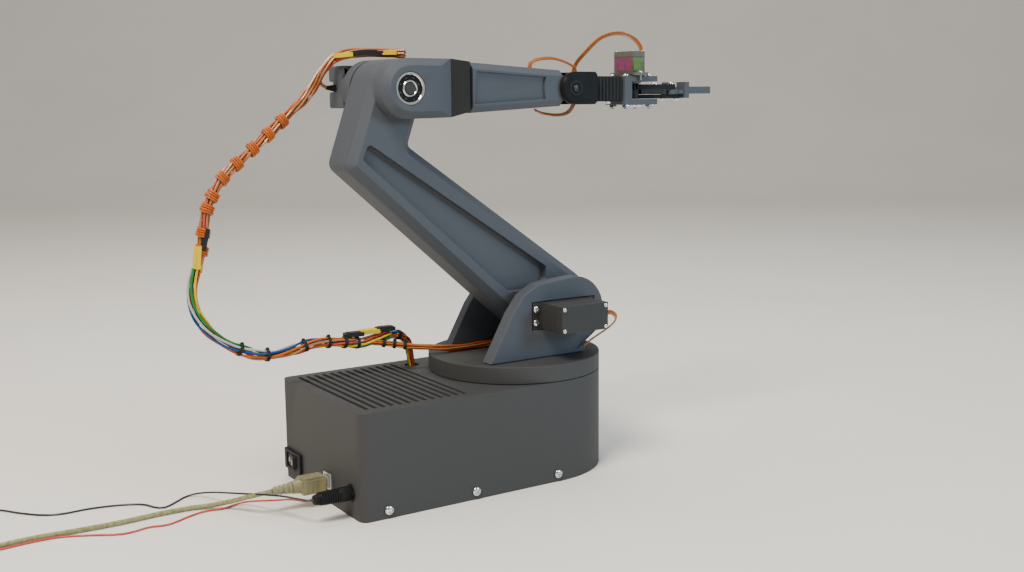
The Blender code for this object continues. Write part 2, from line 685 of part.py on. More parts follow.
def servo_cradle():
    """The box that covers the elbow servo's body, open at its back and slotted for the cable."""
    cradle = box("elbow_servo_cradle", (-119.5, 31.7, 266.5), (-65.5, 55.5, 296.0))
    inside = box("cradle_inside", (ELBOW[0] - 10.6, 30.0, ELBOW[1] - 10.2),
                 (ELBOW[0] + 30.9, 57.0, ELBOW[1] + 10.2))
    slot = box("cradle_slot", (-121.0, 49.0, 278.0), (-112.0, 57.0, 285.0))
    return cut(cradle, inside, slot)


def upper_arm_parts():
    elbow_fork()
    ring("elbow_bearing_outer", ELBOW, "Y", FORK_NEAR_Y[0] + 0.3, FORK_NEAR_Y[0] + 7.0, BEARING[0] / 2, 8.9)
    servo("elbow_servo", BIG_SERVO, placed((ELBOW[0], 58.3, ELBOW[1]), (0, -1, 0), (1, 0, 0)))
    servo_cradle()
    servo("roll_servo", dict(SMALL_SERVO, ear=0.0),
          placed((-76.2, ARM_MID_Y, ROLL_Z), (1, 0, 0), (0, 0, -1)))


# Forearm

def forearm_block():
    """A tapered box: its front face is smaller than its rear one."""
    rear, front = FOREARM_X
    shell = box("forearm_shell", (rear, -20.0, 262.5), (front, 13.0, 297.5), "slate_print")
    front_face = ((-14.5, 7.5), (266.5, 292.5))
    for vert in shell.data.vertices:
        if vert.co.x > 0:
            vert.co.y = front_face[0][vert.co.y > ARM_MID_Y * MM] * MM
            vert.co.z = front_face[1][vert.co.z > ROLL_Z * MM] * MM
    work = bmesh.new()
    work.from_mesh(shell.data)
    edges = [edge for edge in work.edges if abs(edge.verts[0].co.x - edge.verts[1].co.x) > 0.01]
    bmesh.ops.bevel(work, geom=edges, offset=4.5 * MM, segments=1, affect="EDGES")
    work.to_mesh(shell.data)
    work.free()
    return shell


def forearm_shell():
    """The tapered shell, its tongue round the pitch servo, and the hollow that opens on the far side."""
    shell = forearm_block()
    x, z = PITCH
    tongue_side = [(x - 14, z - 9)] + arc((x - 2.0, z), 9.0, -90, 90, 12) + [(x - 14, z + 9)]
    join(shell, prism("tongue", [tongue_side], "Y", -14.2, 3.9, "slate_print"))
    case = box("pitch_case_opening", (x - 17.2, -12.0, z - 6.4), (x + 6.6, 20.0, z + 6.4))
    ears = box("pitch_ear_opening", (x - 22.4, 4.0, z - 6.4), (x + 12.0, 20.0, z + 6.4))
    hollow = box("forearm_hollow", (-41.0, -11.0, 270.0), (x - 22.5, 20.0, 289.0))
    return cut(shell, hollow, ears, case)


def forearm_parts():
    forearm_shell()
    ring("roll_horn", (ARM_MID_Y, ROLL_Z), "X", -51.3, FOREARM_X[0] - GAP, 8.0, 2.6)
    x, z = PITCH
    servo("wrist_servo", SMALL_SERVO, placed((x, -11.7, z), (0, 1, 0), (-1, 0, 0)))


# Wrist fork, gripper body and gripper servo

def wrist_fork():
    x, z = PITCH
    web = x + 13.2
    near_out, near_in = WRIST_NEAR_Y
    far_in, far_out = WRIST_FAR_Y
    plan = [(x - 13, near_out), (WRIST_END_X, near_out), (WRIST_END_X, far_out), (x - 13, far_out),
            (x - 13, far_in), (web, far_in), (web, near_in), (x - 13, near_in)]
    side = arc((x, z), 12.0, 270, 90, 14) + [(WRIST_END_X - 2, z + 12), (WRIST_END_X, z + 10),
                                            (WRIST_END_X, z - 10), (WRIST_END_X - 2, z - 12)]
    fork = prism("wrist_fork", [plan], "Z", z - 14, z + 14, "black_print")
    boolean(fork, prism("wrist_side", [side], "Y", -30, 30, "black_print"), "INTERSECT")
    horn = rod("wrist_spline_hole", PITCH, "Y", far_in - 1, far_out + 1, 2.7, steps=20)
    screw = rod("wrist_screw_hole", PITCH, "Y", near_out - 1, near_in + 1, 1.9, steps=16)
    return cut(fork, horn, screw)


def wrist_pivot_screw():
    screw = rod("wrist_pivot_screw", PITCH, "Y", -20.6, -19.3, 3.6, steps=20)
    return join(screw, rod("wrist_pivot_shank", PITCH, "Y", -19.8, -14.6, 1.5, steps=12))


def gripper_base():
    """A C-shaped bracket: rear wall, top plate and bottom plate, open to the sides and the front."""
    rear, front = GRIPPER_X
    side = [(rear, 266.8), (front, 266.8), (front, 271.0), (100.2, 271.0), (100.2, 284.3), (front, 284.3),
            (front, 288.5), (rear, 288.5)]
    base = prism("gripper_base", [side], "Y", *GRIPPER_Y, "slate_print")
    y = ARM_MID_Y - GEAR_PITCH_R
    case = box("gripper_case_opening", (GEAR_AXIS_X - 6.4, y - 6.3, 283.0),
               (GEAR_AXIS_X + 6.4, y + 17.1, 290.0))
    return cut(base, case)


def wrist_parts():
    wrist_fork()
    wrist_pivot_screw()
    box("gripper_neck", (NECK_X[0], ARM_MID_Y - 10.0, 269.5), (NECK_X[1], ARM_MID_Y + 10.0, 288.3))
    gripper_base()
    servo("gripper_servo", SMALL_SERVO,
          placed((GEAR_AXIS_X, ARM_MID_Y - GEAR_PITCH_R, 288.8 + SMALL_SERVO["flange"][1]), (0, 0, -1), (0, 1, 0)))


# Gripper linkage: each side has a geared arm, a parallel link and a jaw

def gear_points(centre, start):
    """Trapezoid teeth about the pitch circle; start is the angle of the first tooth's middle."""
    points = []
    for tooth in range(GEAR_TEETH):
        middle = start + tooth * TURN / GEAR_TEETH
        for radius, offset in ((GEAR_PITCH_R - 1.0, -0.36), (GEAR_PITCH_R + 0.65, -0.13),
                               (GEAR_PITCH_R + 0.65, 0.13), (GEAR_PITCH_R - 1.0, 0.36)):
            angle = middle + offset * TURN / GEAR_TEETH
            points.append((centre[0] + radius * math.cos(angle), centre[1] + radius * math.sin(angle)))
    return points


def bar(start, end, radius):
    """A flat bar with round ends, seen from above."""
    heading = math.degrees(math.atan2(end[1] - start[1], end[0] - start[0]))
    near_end = arc(start, radius, heading + 90, heading + 270, 10)
    return near_end + arc(end, radius, heading - 90, heading + 90, 10)


def side_points(side):
    """Pivots of one side: arm pivot, arm end, link pivot and link end."""
    reach = Vector((math.cos(REST_ANGLE), side * math.sin(REST_ANGLE))) * LINK_LENGTH
    arm = Vector((GEAR_AXIS_X, ARM_MID_Y + side * GEAR_PITCH_R))
    link = Vector((LINK_AXIS[0], ARM_MID_Y + side * LINK_AXIS[1]))
    return arm, arm + reach, link, link + reach


def gear_arm(name, side, bore):
    arm, arm_end, _, _ = side_points(side)
    phase = math.pi / 2 * -side + (TURN / GEAR_TEETH / 2 if side > 0 else 0)
    body = prism(name, [gear_points(arm, phase)], "Z", 278.4, 282.3, "black_print")
    bar_start = arm + (arm_end - arm) * 0.14
    join(body, prism(name + "_bar", [bar(bar_start, arm_end, 3.2)], "Z", 278.3, 282.2, "black_print"))
    join(body, rod(name + "_pin", arm_end, "Z", 274.8, 279.0, 1.4, steps=12))
    if bore:
        cut(body, rod(name + "_bore", arm, "Z", 277.0, 283.5, 2.7, steps=20))
    else:
        join(body, rod(name + "_axle", arm, "Z", 271.3, 280.0, 2.2, steps=16))
    return body


def parallel_link(name, side):
    _, _, link, link_end = side_points(side)
    body = prism(name, [bar(link, link_end, 2.9)], "Z", 271.3, 274.3, "black_print")
    return join(body, rod(name + "_pin", link_end, "Z", 273.8, 277.8, 1.4, steps=12))


def jaw(name, side):
    """A plate on both pivots, a riser across the linkage's height, and the flat fingertip."""
    _, arm_end, _, link_end = side_points(side)
    face = ARM_MID_Y + side * JAW_GAP / 2
    outer = face + side * 10.0
    plate = bar(arm_end, link_end, 3.6)
    body = prism(name, [plate], "Z", 274.6, 278.0, "slate_print")
    low, high = sorted((face, outer))
    join(body, box(name + "_riser", (link_end.x + 3.9, low, 271.5), (link_end.x + 8.5, high, 284.0)))
    join(body, box(name + "_web", (link_end.x - 1.0, low + 1.0, 274.8), (link_end.x + 5.0, high - 1.0, 277.8)))
    low, high = sorted((face + side * 0.05, face + side * 3.2))
    join(body, box(name + "_tip", (link_end.x + 8.0, low, 274.8), (JAW_TIP_X, high, 280.4)))
    cut(body, rod(name + "_arm_hole", arm_end, "Z", 273.8, 278.8, 1.7, steps=16))
    return cut(body, rod(name + "_link_hole", link_end, "Z", 273.8, 278.8, 1.7, steps=16))


def gripper_parts():
    for word, side in (("near", -1), ("far", 1)):
        gear_arm(f"gear_arm_{word}", side, bore=side < 0)
        parallel_link(f"link_{word}", side)
        jaw(f"jaw_{word}", side)


# Wiring that crosses the joints

def harness_parts():
    lower = [(WIRE_HOLE[0], WIRE_HOLE[1], BASE_TOP + 1.6), (-63.0, 47.0, 81.0), (-67.0, 44.5, 92.0),
             (-76.0, 41.5, 99.5),
             (-90.0, 39.0, 100.5), (-110.0, 37.0, 97.5), (-130.0, 36.0, 100.5), (-147.0, 36.0, 101.5),
             (-163.0, 36.0, 98.5), (-181.0, 36.0, 97.2), (-196.0, 36.0, 101.3), (-212.0, 36.0, 110.0),
             (-225.0, 36.0, 122.5), (-231.5, 36.0, 137.0), (-232.0, 36.0, 150.0), (-228.0, 36.0, 163.0)]
    upper = [(-227.3, 36.0, 164.6), (-224.0, 36.0, 176.0), (-222.0, 36.0, 190.0), (-219.0, 36.0, 202.0),
             (-213.5, 36.0, 213.0), (-206.0, 36.0, 223.0), (-191.0, 36.0, 236.0), (-178.0, 36.5, 246.5),
             (-158.0, 38.0, 263.0), (-146.0, 39.0, 273.0), (-137.5, 39.0, 283.0), (-130.5, 38.5, 293.5),
             (-120.5, 36.0, 302.5), (-105.0, 30.0, 305.0), (-90.0, 22.0, 304.8), (-80.0, 13.0, 303.8)]
    tube("harness_lower", lower, 6.5, "orange_wire")
    tube("harness_upper", upper, 7.0, "orange_wire")
    gripper = [(114.5, -7.0, 306.0), (115.5, -6.5, 310.0), (111.0, -3.5, 317.0), (98.0, -1.0, 321.0),
               (85.0, 4.0, 317.5), (76.0, 11.5, 307.0), (71.0, 18.5, 297.0), (70.5, 20.5, 286.0), (72.0, 20.5, 275.0),
               (69.5, 19.0, 267.0), (60.0, 14.0, 261.0), (46.0, 8.0, 259.5), (29.5, 2.0, 261.0), (19.5, -2.0, 263.6)]
    tube("gripper_servo_cable", gripper, 2.4, "brown_wire")
    wrist = [(16.0, 0.0, 295.0), (17.5, 0.5, 298.0), (25.0, 2.0, 300.8), (38.5, 3.5, 301.8), (50.0, 4.0, 299.5),
             (57.5, 4.0, 296.5), (60.8, 4.0, 294.5), (61.2, 4.0, 292.3)]
    tube("wrist_cable", wrist, 2.4, "brown_wire")


base_parts()
plug_parts()
coil_parts()
waist_parts()
lower_arm_parts()
upper_arm_parts()
forearm_parts()
wrist_parts()
gripper_parts()
harness_parts()
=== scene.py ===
"""The look of a desktop robot arm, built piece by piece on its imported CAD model.

Lengths are millimetres unless a name says otherwise; meshes are written in metres, in the frame of the CAD:
origin on the waist axis at the underside of the base, +X the way the arm reaches, +Z up.
"""

import json
import math

import bmesh
import bpy
from mathutils import Matrix, Vector


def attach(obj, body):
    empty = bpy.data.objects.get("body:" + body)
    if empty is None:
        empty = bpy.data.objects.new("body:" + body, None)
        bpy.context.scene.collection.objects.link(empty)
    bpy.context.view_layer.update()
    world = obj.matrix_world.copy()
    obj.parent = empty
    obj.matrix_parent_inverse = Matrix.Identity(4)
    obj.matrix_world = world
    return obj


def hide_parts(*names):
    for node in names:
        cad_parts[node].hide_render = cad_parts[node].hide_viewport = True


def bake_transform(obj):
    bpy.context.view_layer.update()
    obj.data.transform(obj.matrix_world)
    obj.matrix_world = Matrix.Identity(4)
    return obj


MM = 0.001
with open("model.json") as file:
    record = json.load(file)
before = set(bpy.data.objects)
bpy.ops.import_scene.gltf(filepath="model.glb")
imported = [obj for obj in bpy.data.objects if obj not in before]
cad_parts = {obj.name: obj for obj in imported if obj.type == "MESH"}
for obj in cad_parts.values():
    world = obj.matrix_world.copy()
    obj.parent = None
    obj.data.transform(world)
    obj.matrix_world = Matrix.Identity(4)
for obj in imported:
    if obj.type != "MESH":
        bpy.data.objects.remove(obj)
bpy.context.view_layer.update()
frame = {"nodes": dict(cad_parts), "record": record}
BODY_OF = {node: body for body, nodes in frame["record"]["behaviour"]["bodies"].items() for node in nodes}
DIRECTION = {"X": Vector((1, 0, 0)), "Y": Vector((0, 1, 0)), "Z": Vector((0, 0, 1))}

# Places shared with the CAD
BASE_R = 64.25
SHOULDER = Vector((29.0, 0.0, 117.0))
ELBOW = Vector((-102.8, 0.0, 279.5))
PITCH = Vector((44.5, 0.0, 279.5))
ARM_MID_Y = -3.5
GEAR_AXIS_X = 106.7
GEAR_PITCH_R = 5.4
LINK_LENGTH = 34.0
REST_ANGLE = math.radians(8.0)
USB_Y, USB_Z = -11.7, 15.5
DC_Y, DC_Z = -48.0, 17.0


# Camera, light and floor

def camera():
    """A camera turned by yaw, pitch and roll, in degrees, from one that looks along +Y."""
    yaw, pitch, roll = (math.radians(value) for value in (-33.02, 8.92, -0.52))
    back = Vector((math.sin(yaw) * math.cos(pitch), -math.cos(yaw) * math.cos(pitch), math.sin(pitch)))
    right = Vector((math.cos(yaw), math.sin(yaw), 0))
    up = right.cross(-back)
    across = right * math.cos(roll) + up * math.sin(roll)
    upward = -right * math.sin(roll) + up * math.cos(roll)
    made = bpy.data.objects.new("camera", bpy.data.cameras.new("camera"))
    made.data.lens = 42.15
    made.data.sensor_width = 36.0
    made.matrix_world = Matrix((across, upward, back)).transposed().to_4x4()
    made.location = Vector((-483.5, -742.5, 272.8)) * MM
    bpy.context.scene.collection.objects.link(made)
    bpy.context.scene.camera = made


def area_light(name, place, target, size, watts, colour):
    light = bpy.data.lights.new(name, "AREA")
    light.shape = "DISK"
    light.size = size
    light.energy = watts
    light.color = colour
    made = bpy.data.objects.new(name, light)
    made.location = place
    made.rotation_euler = (Vector(target) - Vector(place)).to_track_quat("-Z", "Y").to_euler()
    bpy.context.scene.collection.objects.link(made)


def studio():
    area_light("key", (-0.9, -0.5, 1.6), (0, 0, 0.15), 0.7, 38, (1.0, 0.93, 0.84))
    area_light("window", (1.0, -1.6, 0.75), (0, 0, 0.2), 0.6, 20, (0.50, 0.76, 1.0))
    area_light("rear", (-1.5, 1.0, 0.7), (0, 0, 0.15), 0.8, 4, (1.0, 0.90, 0.78))
    area_light("top", (0.3, 0.5, 1.7), (0, 0, 0.1), 1.2, 14, (0.95, 0.97, 1.0))
    world = bpy.data.worlds.new("studio")
    world.use_nodes = True
    world.node_tree.nodes["Background"].inputs["Color"].default_value = (0.93, 0.92, 0.90, 1)
    world.node_tree.nodes["Background"].inputs["Strength"].default_value = 0.45
    bpy.context.scene.world = world


def backdrop():
    """A pale floor that turns up into a pale wall well behind the object."""
    angles = [math.radians(6 * i) for i in range(16)]
    bend = [(2.2 + 1.2 * math.sin(angle), 1.2 - 1.2 * math.cos(angle)) for angle in angles]
    profile = [(-3.0, 0.0)] + bend + [(3.4, 4.0)]
    away = Vector((-math.sin(math.radians(-33)), math.cos(math.radians(-33)), 0))
    side = Vector((away.y, -away.x, 0))
    work = bmesh.new()
    rows = []
    for depth, height in profile:
        middle = away * depth + Vector((0, 0, height))
        rows.append([work.verts.new(middle + side * reach) for reach in (-5, 5)])
    for before, after in zip(rows, rows[1:]):
        work.faces.new((before[0], before[1], after[1], after[0]))
    mesh = bpy.data.meshes.new("floor")
    work.to_mesh(mesh)
    work.free()
    mesh.shade_smooth()
    mesh.materials.append(look("floor"))
    made = bpy.data.objects.new("floor", mesh)
    bpy.context.scene.collection.objects.link(made)


# Materials

def surface(name, colour, other, roughness, metallic=0.0, patch=18.0, grain=0.5, bump=0.12, layers=0.0,
            vary=0.10, coat=0.0, clear=0.0, edge=0.0, shine=0.35):
    """Two close colours in soft patches, an uneven roughness and a fine bump.

    patch and grain are sizes in millimetres, and layers is the pitch of a printed part's layer lines.
    edge lightens sharp edges by their pointiness, a painted highlight along them, and clear lets light through."""
    made = bpy.data.materials.get(name)
    if made:
        return made
    made = bpy.data.materials.new(name)
    made.use_nodes = True
    nodes = made.node_tree.nodes
    link = made.node_tree.links.new
    shader = nodes["Principled BSDF"]
    place = nodes.new("ShaderNodeTexCoord").outputs["Object"]

    def noise(scale, detail):
        node = nodes.new("ShaderNodeTexNoise")
        node.inputs["Scale"].default_value = scale
        node.inputs["Detail"].default_value = detail
        link(place, node.inputs["Vector"])
        return node.outputs["Fac"]

    def ranged(value, low, high, start=0.3, end=0.7):
        node = nodes.new("ShaderNodeMapRange")
        node.inputs["From Min"].default_value = start
        node.inputs["From Max"].default_value = end
        node.inputs["To Min"].default_value = low
        node.inputs["To Max"].default_value = high
        link(value, node.inputs["Value"])
        return node.outputs["Result"]

    def mixed(factor, a, b):
        node = nodes.new("ShaderNodeMix")
        node.data_type = "RGBA"
        link(factor, node.inputs["Factor"])
        for value, socket in ((a, node.inputs["A"]), (b, node.inputs["B"])):
            if isinstance(value, tuple):
                socket.default_value = (*value, 1)
            else:
                link(value, socket)
        return node.outputs["Result"]

    broad = noise(1000 / patch, 3)
    fine = noise(1000 / grain, 2)
    tint = mixed(ranged(broad, 0, 1), colour, other)
    # painted highlight: the base colour is lightened where the surface is pointy, along sharp edges
    if edge:
        geometry = nodes.new("ShaderNodeNewGeometry")
        painted_edge_highlight = ranged(geometry.outputs["Pointiness"], 0, edge, 0.52, 0.60)
        tint = mixed(painted_edge_highlight, tint, tuple(min(1, 4 * c + 0.10) for c in colour))
    link(tint, shader.inputs["Base Color"])
    link(ranged(broad, roughness - vary / 2, roughness + vary / 2), shader.inputs["Roughness"])
    shader.inputs["Metallic"].default_value = metallic
    shader.inputs["Coat Weight"].default_value = coat
    shader.inputs["Coat Roughness"].default_value = 0.25
    shader.inputs["Transmission Weight"].default_value = clear
    shader.inputs["IOR"].default_value = 1.38
    shader.inputs["Specular IOR Level"].default_value = 0.5 if metallic or clear else shine
    if bump:
        node = nodes.new("ShaderNodeBump")
        node.inputs["Strength"].default_value = bump
        node.inputs["Distance"].default_value = 0.0002
        height = fine
        if layers:
            wave = nodes.new("ShaderNodeTexWave")
            wave.bands_direction = "Z"
            wave.inputs["Scale"].default_value = math.pi / 10 / (layers * MM)
            wave.inputs["Distortion"].default_value = 0.2
            link(place, wave.inputs["Vector"])
            add = nodes.new("ShaderNodeMath")
            link(wave.outputs["Fac"], add.inputs[0])
            link(fine, add.inputs[1])
            height = add.outputs["Value"]
        link(height, node.inputs["Height"])
        link(node.outputs["Normal"], shader.inputs["Normal"])
    return made


# edge is the strength of the painted highlight along sharp edges
FINISHES = {
    "floor": dict(colour=(0.84, 0.80, 0.73), other=(0.80, 0.76, 0.69), roughness=0.75, patch=300, bump=0.0),
    "base_black": dict(colour=(0.0028, 0.0028, 0.0032), other=(0.0042, 0.0041, 0.0043), roughness=0.34,
                       patch=40, layers=0.8, edge=0.10, shine=0.08),
    "arm_black": dict(colour=(0.0055, 0.0100, 0.0175), other=(0.0080, 0.0130, 0.0215), roughness=0.30, patch=30,
                      layers=0.8, edge=0.25, shine=0.22),
    "collar_black": dict(colour=(0.014, 0.0132, 0.0125), other=(0.018, 0.017, 0.0155), roughness=0.42, patch=30,
                         layers=0.8, edge=0.2, shine=0.20),
    "deep_black": dict(colour=(0.005, 0.005, 0.0055), other=(0.008, 0.008, 0.0085), roughness=0.40, patch=12,
                       edge=0.15, shine=0.12),
    "servo_black": dict(colour=(0.010, 0.0098, 0.0088), other=(0.016, 0.0155, 0.0135), roughness=0.36, patch=10,
                        bump=0.20, edge=0.15, shine=0.16),
    "seam_black": dict(colour=(0.004, 0.004, 0.004), other=(0.006, 0.006, 0.006), roughness=0.7, patch=10),
    "smoky_case": dict(colour=(0.040, 0.036, 0.024), other=(0.060, 0.055, 0.038), roughness=0.20, patch=6,
                       bump=0.05, coat=0.3, edge=0.5),
    "label_plum": dict(colour=(0.16, 0.030, 0.085), other=(0.21, 0.045, 0.11), roughness=0.30, patch=3,
                       bump=0.03),
    "label_green": dict(colour=(0.07, 0.13, 0.02), other=(0.10, 0.17, 0.03), roughness=0.30, patch=3,
                        bump=0.03),
    "board": dict(colour=(0.015, 0.10, 0.13), other=(0.02, 0.13, 0.15), roughness=0.35, patch=4),
    "screw_steel": dict(colour=(0.46, 0.46, 0.44), other=(0.36, 0.36, 0.34), roughness=0.28, metallic=1.0,
                        patch=3, bump=0.05),
    "dark_steel": dict(colour=(0.045, 0.045, 0.05), other=(0.07, 0.07, 0.07), roughness=0.38, metallic=1.0,
                       patch=3, bump=0.05),
    "bearing_steel": dict(colour=(0.40, 0.395, 0.375), other=(0.33, 0.325, 0.31), roughness=0.34, metallic=1.0,
                          patch=5, bump=0.03),
    "socket_steel": dict(colour=(0.62, 0.61, 0.58), other=(0.50, 0.49, 0.46), roughness=0.30, metallic=1.0,
                         patch=4, bump=0.08),
    "horn_aluminium": dict(colour=(0.70, 0.70, 0.72), other=(0.60, 0.60, 0.62), roughness=0.32, metallic=1.0,
                           patch=4),
    "olive_clear": dict(colour=(0.44, 0.42, 0.24), other=(0.36, 0.34, 0.18), roughness=0.16, patch=7, bump=0.04,
                        clear=0.45, coat=0.3),
    "olive_cable": dict(colour=(0.20, 0.18, 0.07), other=(0.33, 0.31, 0.15), roughness=0.28, patch=2.2,
                        grain=1.2, bump=0.25),
    "tie": dict(colour=(0.55, 0.53, 0.48), other=(0.62, 0.60, 0.55), roughness=0.5, patch=4),
    "tin": dict(colour=(0.70, 0.69, 0.66), other=(0.58, 0.57, 0.54), roughness=0.3, metallic=1.0, patch=1.5),
    "mark_white": dict(colour=(0.80, 0.80, 0.78), other=(0.72, 0.72, 0.70), roughness=0.5, patch=3),
}
WIRES = {
    "wire_tan": (0.40, 0.115, 0.025),
    "wire_red": (0.30, 0.010, 0.004),
    "wire_black": (0.012, 0.011, 0.011),
    "wire_orange": (0.62, 0.105, 0.004),
    "wire_brown": (0.085, 0.020, 0.006),
    "wire_yellow": (0.72, 0.50, 0.004),
    "wire_green": (0.02, 0.20, 0.045),
    "wire_blue": (0.008, 0.06, 0.22),
    "wire_white": (0.50, 0.49, 0.42),
    "plug_yellow": (0.78, 0.55, 0.004),
}


def look(name):
    """A finish by its name, made when it is first used."""
    if name not in WIRES:
        return bpy.data.materials.get(name) or surface(name, **FINISHES[name])
    colour = WIRES[name]
    return surface(name, colour, tuple(0.8 * c for c in colour), 0.34, patch=8, grain=0.8, bump=0.08)


# Mesh building

def turn_to(direction, spin=0.0):
    """The rotation that lays local Z along a direction."""
    return (Vector(direction).to_track_quat("Z", "Y").to_matrix() @ Matrix.Rotation(spin, 3, "Z")).to_4x4()


def paint(faces, slot):
    for face in faces:
        face.material_index = slot
        face.smooth = True


def add_box(work, low, high, slot=0, chamfer=0.0):
    made = bmesh.ops.create_cube(work, size=1.0)["verts"]
    low, high = Vector(low), Vector(high)
    size = (high - low) * MM
    bmesh.ops.transform(work, matrix=Matrix.Translation((low + high) / 2 * MM) @ Matrix.Diagonal((*size, 1)),
                        verts=made)
    paint({face for vert in made for face in vert.link_faces}, slot)
    if chamfer:
        edges = list({edge for vert in made for edge in vert.link_edges})
        bmesh.ops.bevel(work, geom=edges, offset=chamfer * MM, segments=2, affect="EDGES", material=-1)
    return made


def add_lathe(work, profile, place, direction, slot=0, sides=32, closed=False):
    """Turns a profile of (radius, height) points about a line; open profiles start and end on the line."""
    matrix = Matrix.Translation(Vector(place) * MM) @ turn_to(direction)
    rings = []
    for radius, height in profile:
        if radius < 1e-6:
            rings.append([work.verts.new(matrix @ Vector((0, 0, height * MM)))])
            continue
        rings.append([work.verts.new(matrix @ Vector((radius * MM * math.cos(a), radius * MM * math.sin(a),
                                                      height * MM)))
                      for a in (2 * math.pi * i / sides for i in range(sides))])
    faces = []
    pairs = list(zip(rings, rings[1:])) + ([(rings[-1], rings[0])] if closed else [])
    for lower, upper in pairs:
        for i in range(sides):
            k = (i + 1) % sides
            low, high = len(lower), len(upper)
            corners = list(dict.fromkeys([lower[i % low], lower[k % low], upper[k % high], upper[i % high]]))
            if len(corners) > 2:
                faces.append(work.faces.new(corners))
    paint(faces, slot)


def add_rod(work, start, end, radius, slot=0, sides=16, end_radius=None, round_off=0.0):
    length = (Vector(end) - Vector(start)).length
    far = radius if end_radius is None else end_radius
    profile = [(0, 0), (radius - round_off, 0), (radius, round_off), (far, length - round_off),
               (far - round_off, length), (0, length)]
    add_lathe(work, [p for i, p in enumerate(profile) if i == 0 or p != profile[i - 1]], start,
              Vector(end) - Vector(start), slot, sides)


def along(points):
    """Tangent, side and up directions at each point, turned as little as possible from one to the next."""
    tangents = [(b - a).normalized() for a, b in zip([points[0]] + points[:-1], points[1:] + [points[-1]])]
    side = tangents[0].orthogonal().normalized()
    if abs(tangents[0].z) < 0.9:
        side = tangents[0].cross(DIRECTION["Z"]).normalized()
    result = []
    for tangent in tangents:
        side = (side - tangent * side.dot(tangent)).normalized()
        result.append((tangent, side, side.cross(tangent)))
    return result


def add_sweep(work, points, radius, slot=0, sides=8):
    """A round strand with closed ends along points in millimetres."""
    rings = []
    for point, (_, side, up) in zip(points, along(points)):
        angles = (2 * math.pi * i / sides for i in range(sides))
        rings.append([work.verts.new((point + (side * math.cos(a) + up * math.sin(a)) * radius) * MM)
                      for a in angles])
    faces = []
    for lower, upper in zip(rings, rings[1:]):
        for i in range(sides):
            k = (i + 1) % sides
            faces.append(work.faces.new((lower[i], lower[k], upper[k], upper[i])))
    faces += [work.faces.new(rings[0][::-1]), work.faces.new(rings[-1])]
    paint(faces, slot)


def smooth(route, spacing):
    """Evenly spaced points on a smooth curve through the route's points."""
    points = [Vector(point) for point in route]
    points = [points[0] * 2 - points[1]] + points + [points[-1] * 2 - points[-2]]
    fine = []
    for before, start, end, after in zip(points, points[1:], points[2:], points[3:]):
        for i in range(24):
            t = i / 24
            square = 2 * before - 5 * start + 4 * end - after
            cube = 3 * start - before - 3 * end + after
            fine.append(0.5 * (2 * start + (end - before) * t + square * t ** 2 + cube * t ** 3))
    fine.append(points[-2])
    length = sum((b - a).length for a, b in zip(fine, fine[1:]))
    count = max(2, round(length / spacing))
    even = [fine[0]]
    walked = 0.0
    for a, b in zip(fine, fine[1:]):
        step = (b - a).length
        while len(even) < count and walked + step >= length * len(even) / count:
            even.append(a.lerp(b, (length * len(even) / count - walked) / step))
        walked += step
    return even + [fine[-1]]


def piece(name, work, looks, body, replaces=(), angle=35):
    """Turns the built mesh into a piece that rides on a body."""
    bmesh.ops.recalc_face_normals(work, faces=work.faces)
    mesh = bpy.data.meshes.new(name)
    work.to_mesh(mesh)
    work.free()
    mesh.set_sharp_from_angle(angle=math.radians(angle))
    for colour in looks:
        mesh.materials.append(look(colour))
    obj = bpy.data.objects.new(name, mesh)
    bpy.context.scene.collection.objects.link(obj)
    if replaces:
        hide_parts(*replaces)
    if body:
        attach(obj, body)
    return obj


def solid(name, work):
    """A scratch object for a Boolean."""
    mesh = bpy.data.meshes.new(name)
    bmesh.ops.recalc_face_normals(work, faces=work.faces)
    work.to_mesh(mesh)
    work.free()
    obj = bpy.data.objects.new(name, mesh)
    bpy.context.scene.collection.objects.link(obj)
    return obj


def carved(body, tools):
    """The mesh of one scratch object with the others taken out of it."""
    for tool in tools:
        modifier = body.modifiers.new("cut", "BOOLEAN")
        modifier.operation = "DIFFERENCE"
        modifier.solver = "EXACT"
        modifier.object = tool
    shape = body.evaluated_get(bpy.context.evaluated_depsgraph_get())
    mesh = bpy.data.meshes.new_from_object(shape)
    for obj in [body, *tools]:
        bpy.data.objects.remove(obj)
    return mesh


def refined(node, colour, width=0.5, rims=(), tools=()):
    """The CAD solid with whole flat faces, wide rims chamfered, cuts made and every edge eased."""
    work = bmesh.new()
    work.from_mesh(frame["nodes"][node].data)
    bmesh.ops.remove_doubles(work, verts=work.verts, dist=1e-6)
    bmesh.ops.dissolve_limit(work, angle_limit=0.02, verts=work.verts, edges=work.edges)
    for axis, level, chamfer, wanted in rims:
        index = "XYZ".index(axis)
        edges = []
        for edge in work.edges:
            on_plane = all(abs(vert.co[index] - level * MM) < 2e-5 for vert in edge.verts)
            middle = (edge.verts[0].co + edge.verts[1].co) / 2 / MM
            if on_plane and edge.calc_face_angle(0) > 0.5 and wanted(middle):
                edges.append(edge)
        bmesh.ops.bevel(work, geom=edges, offset=chamfer * MM, segments=1, affect="EDGES")
    if tools:
        mesh = carved(solid("scratch", work), tools)
        work = bmesh.new()
        work.from_mesh(mesh)
        bmesh.ops.remove_doubles(work, verts=work.verts, dist=1e-6)
    for face in work.faces:
        face.smooth = True
        face.material_index = 0
    obj = piece(node + "_shape", work, [colour], BODY_OF[node], [node])
    bevel = obj.modifiers.new("bevel", "BEVEL")
    bevel.width = width * MM
    bevel.segments = 2
    bevel.limit_method = "ANGLE"
    bevel.angle_limit = math.radians(30)
    bevel.use_clamp_overlap = True
    bevel.harden_normals = True
    return obj


def kept(colour, *nodes):
    """CAD solids that stay as they are, with a better material."""
    for node in nodes:
        mesh = frame["nodes"][node].data
        mesh.materials.clear()
        mesh.materials.append(look(colour))


# Small standard parts

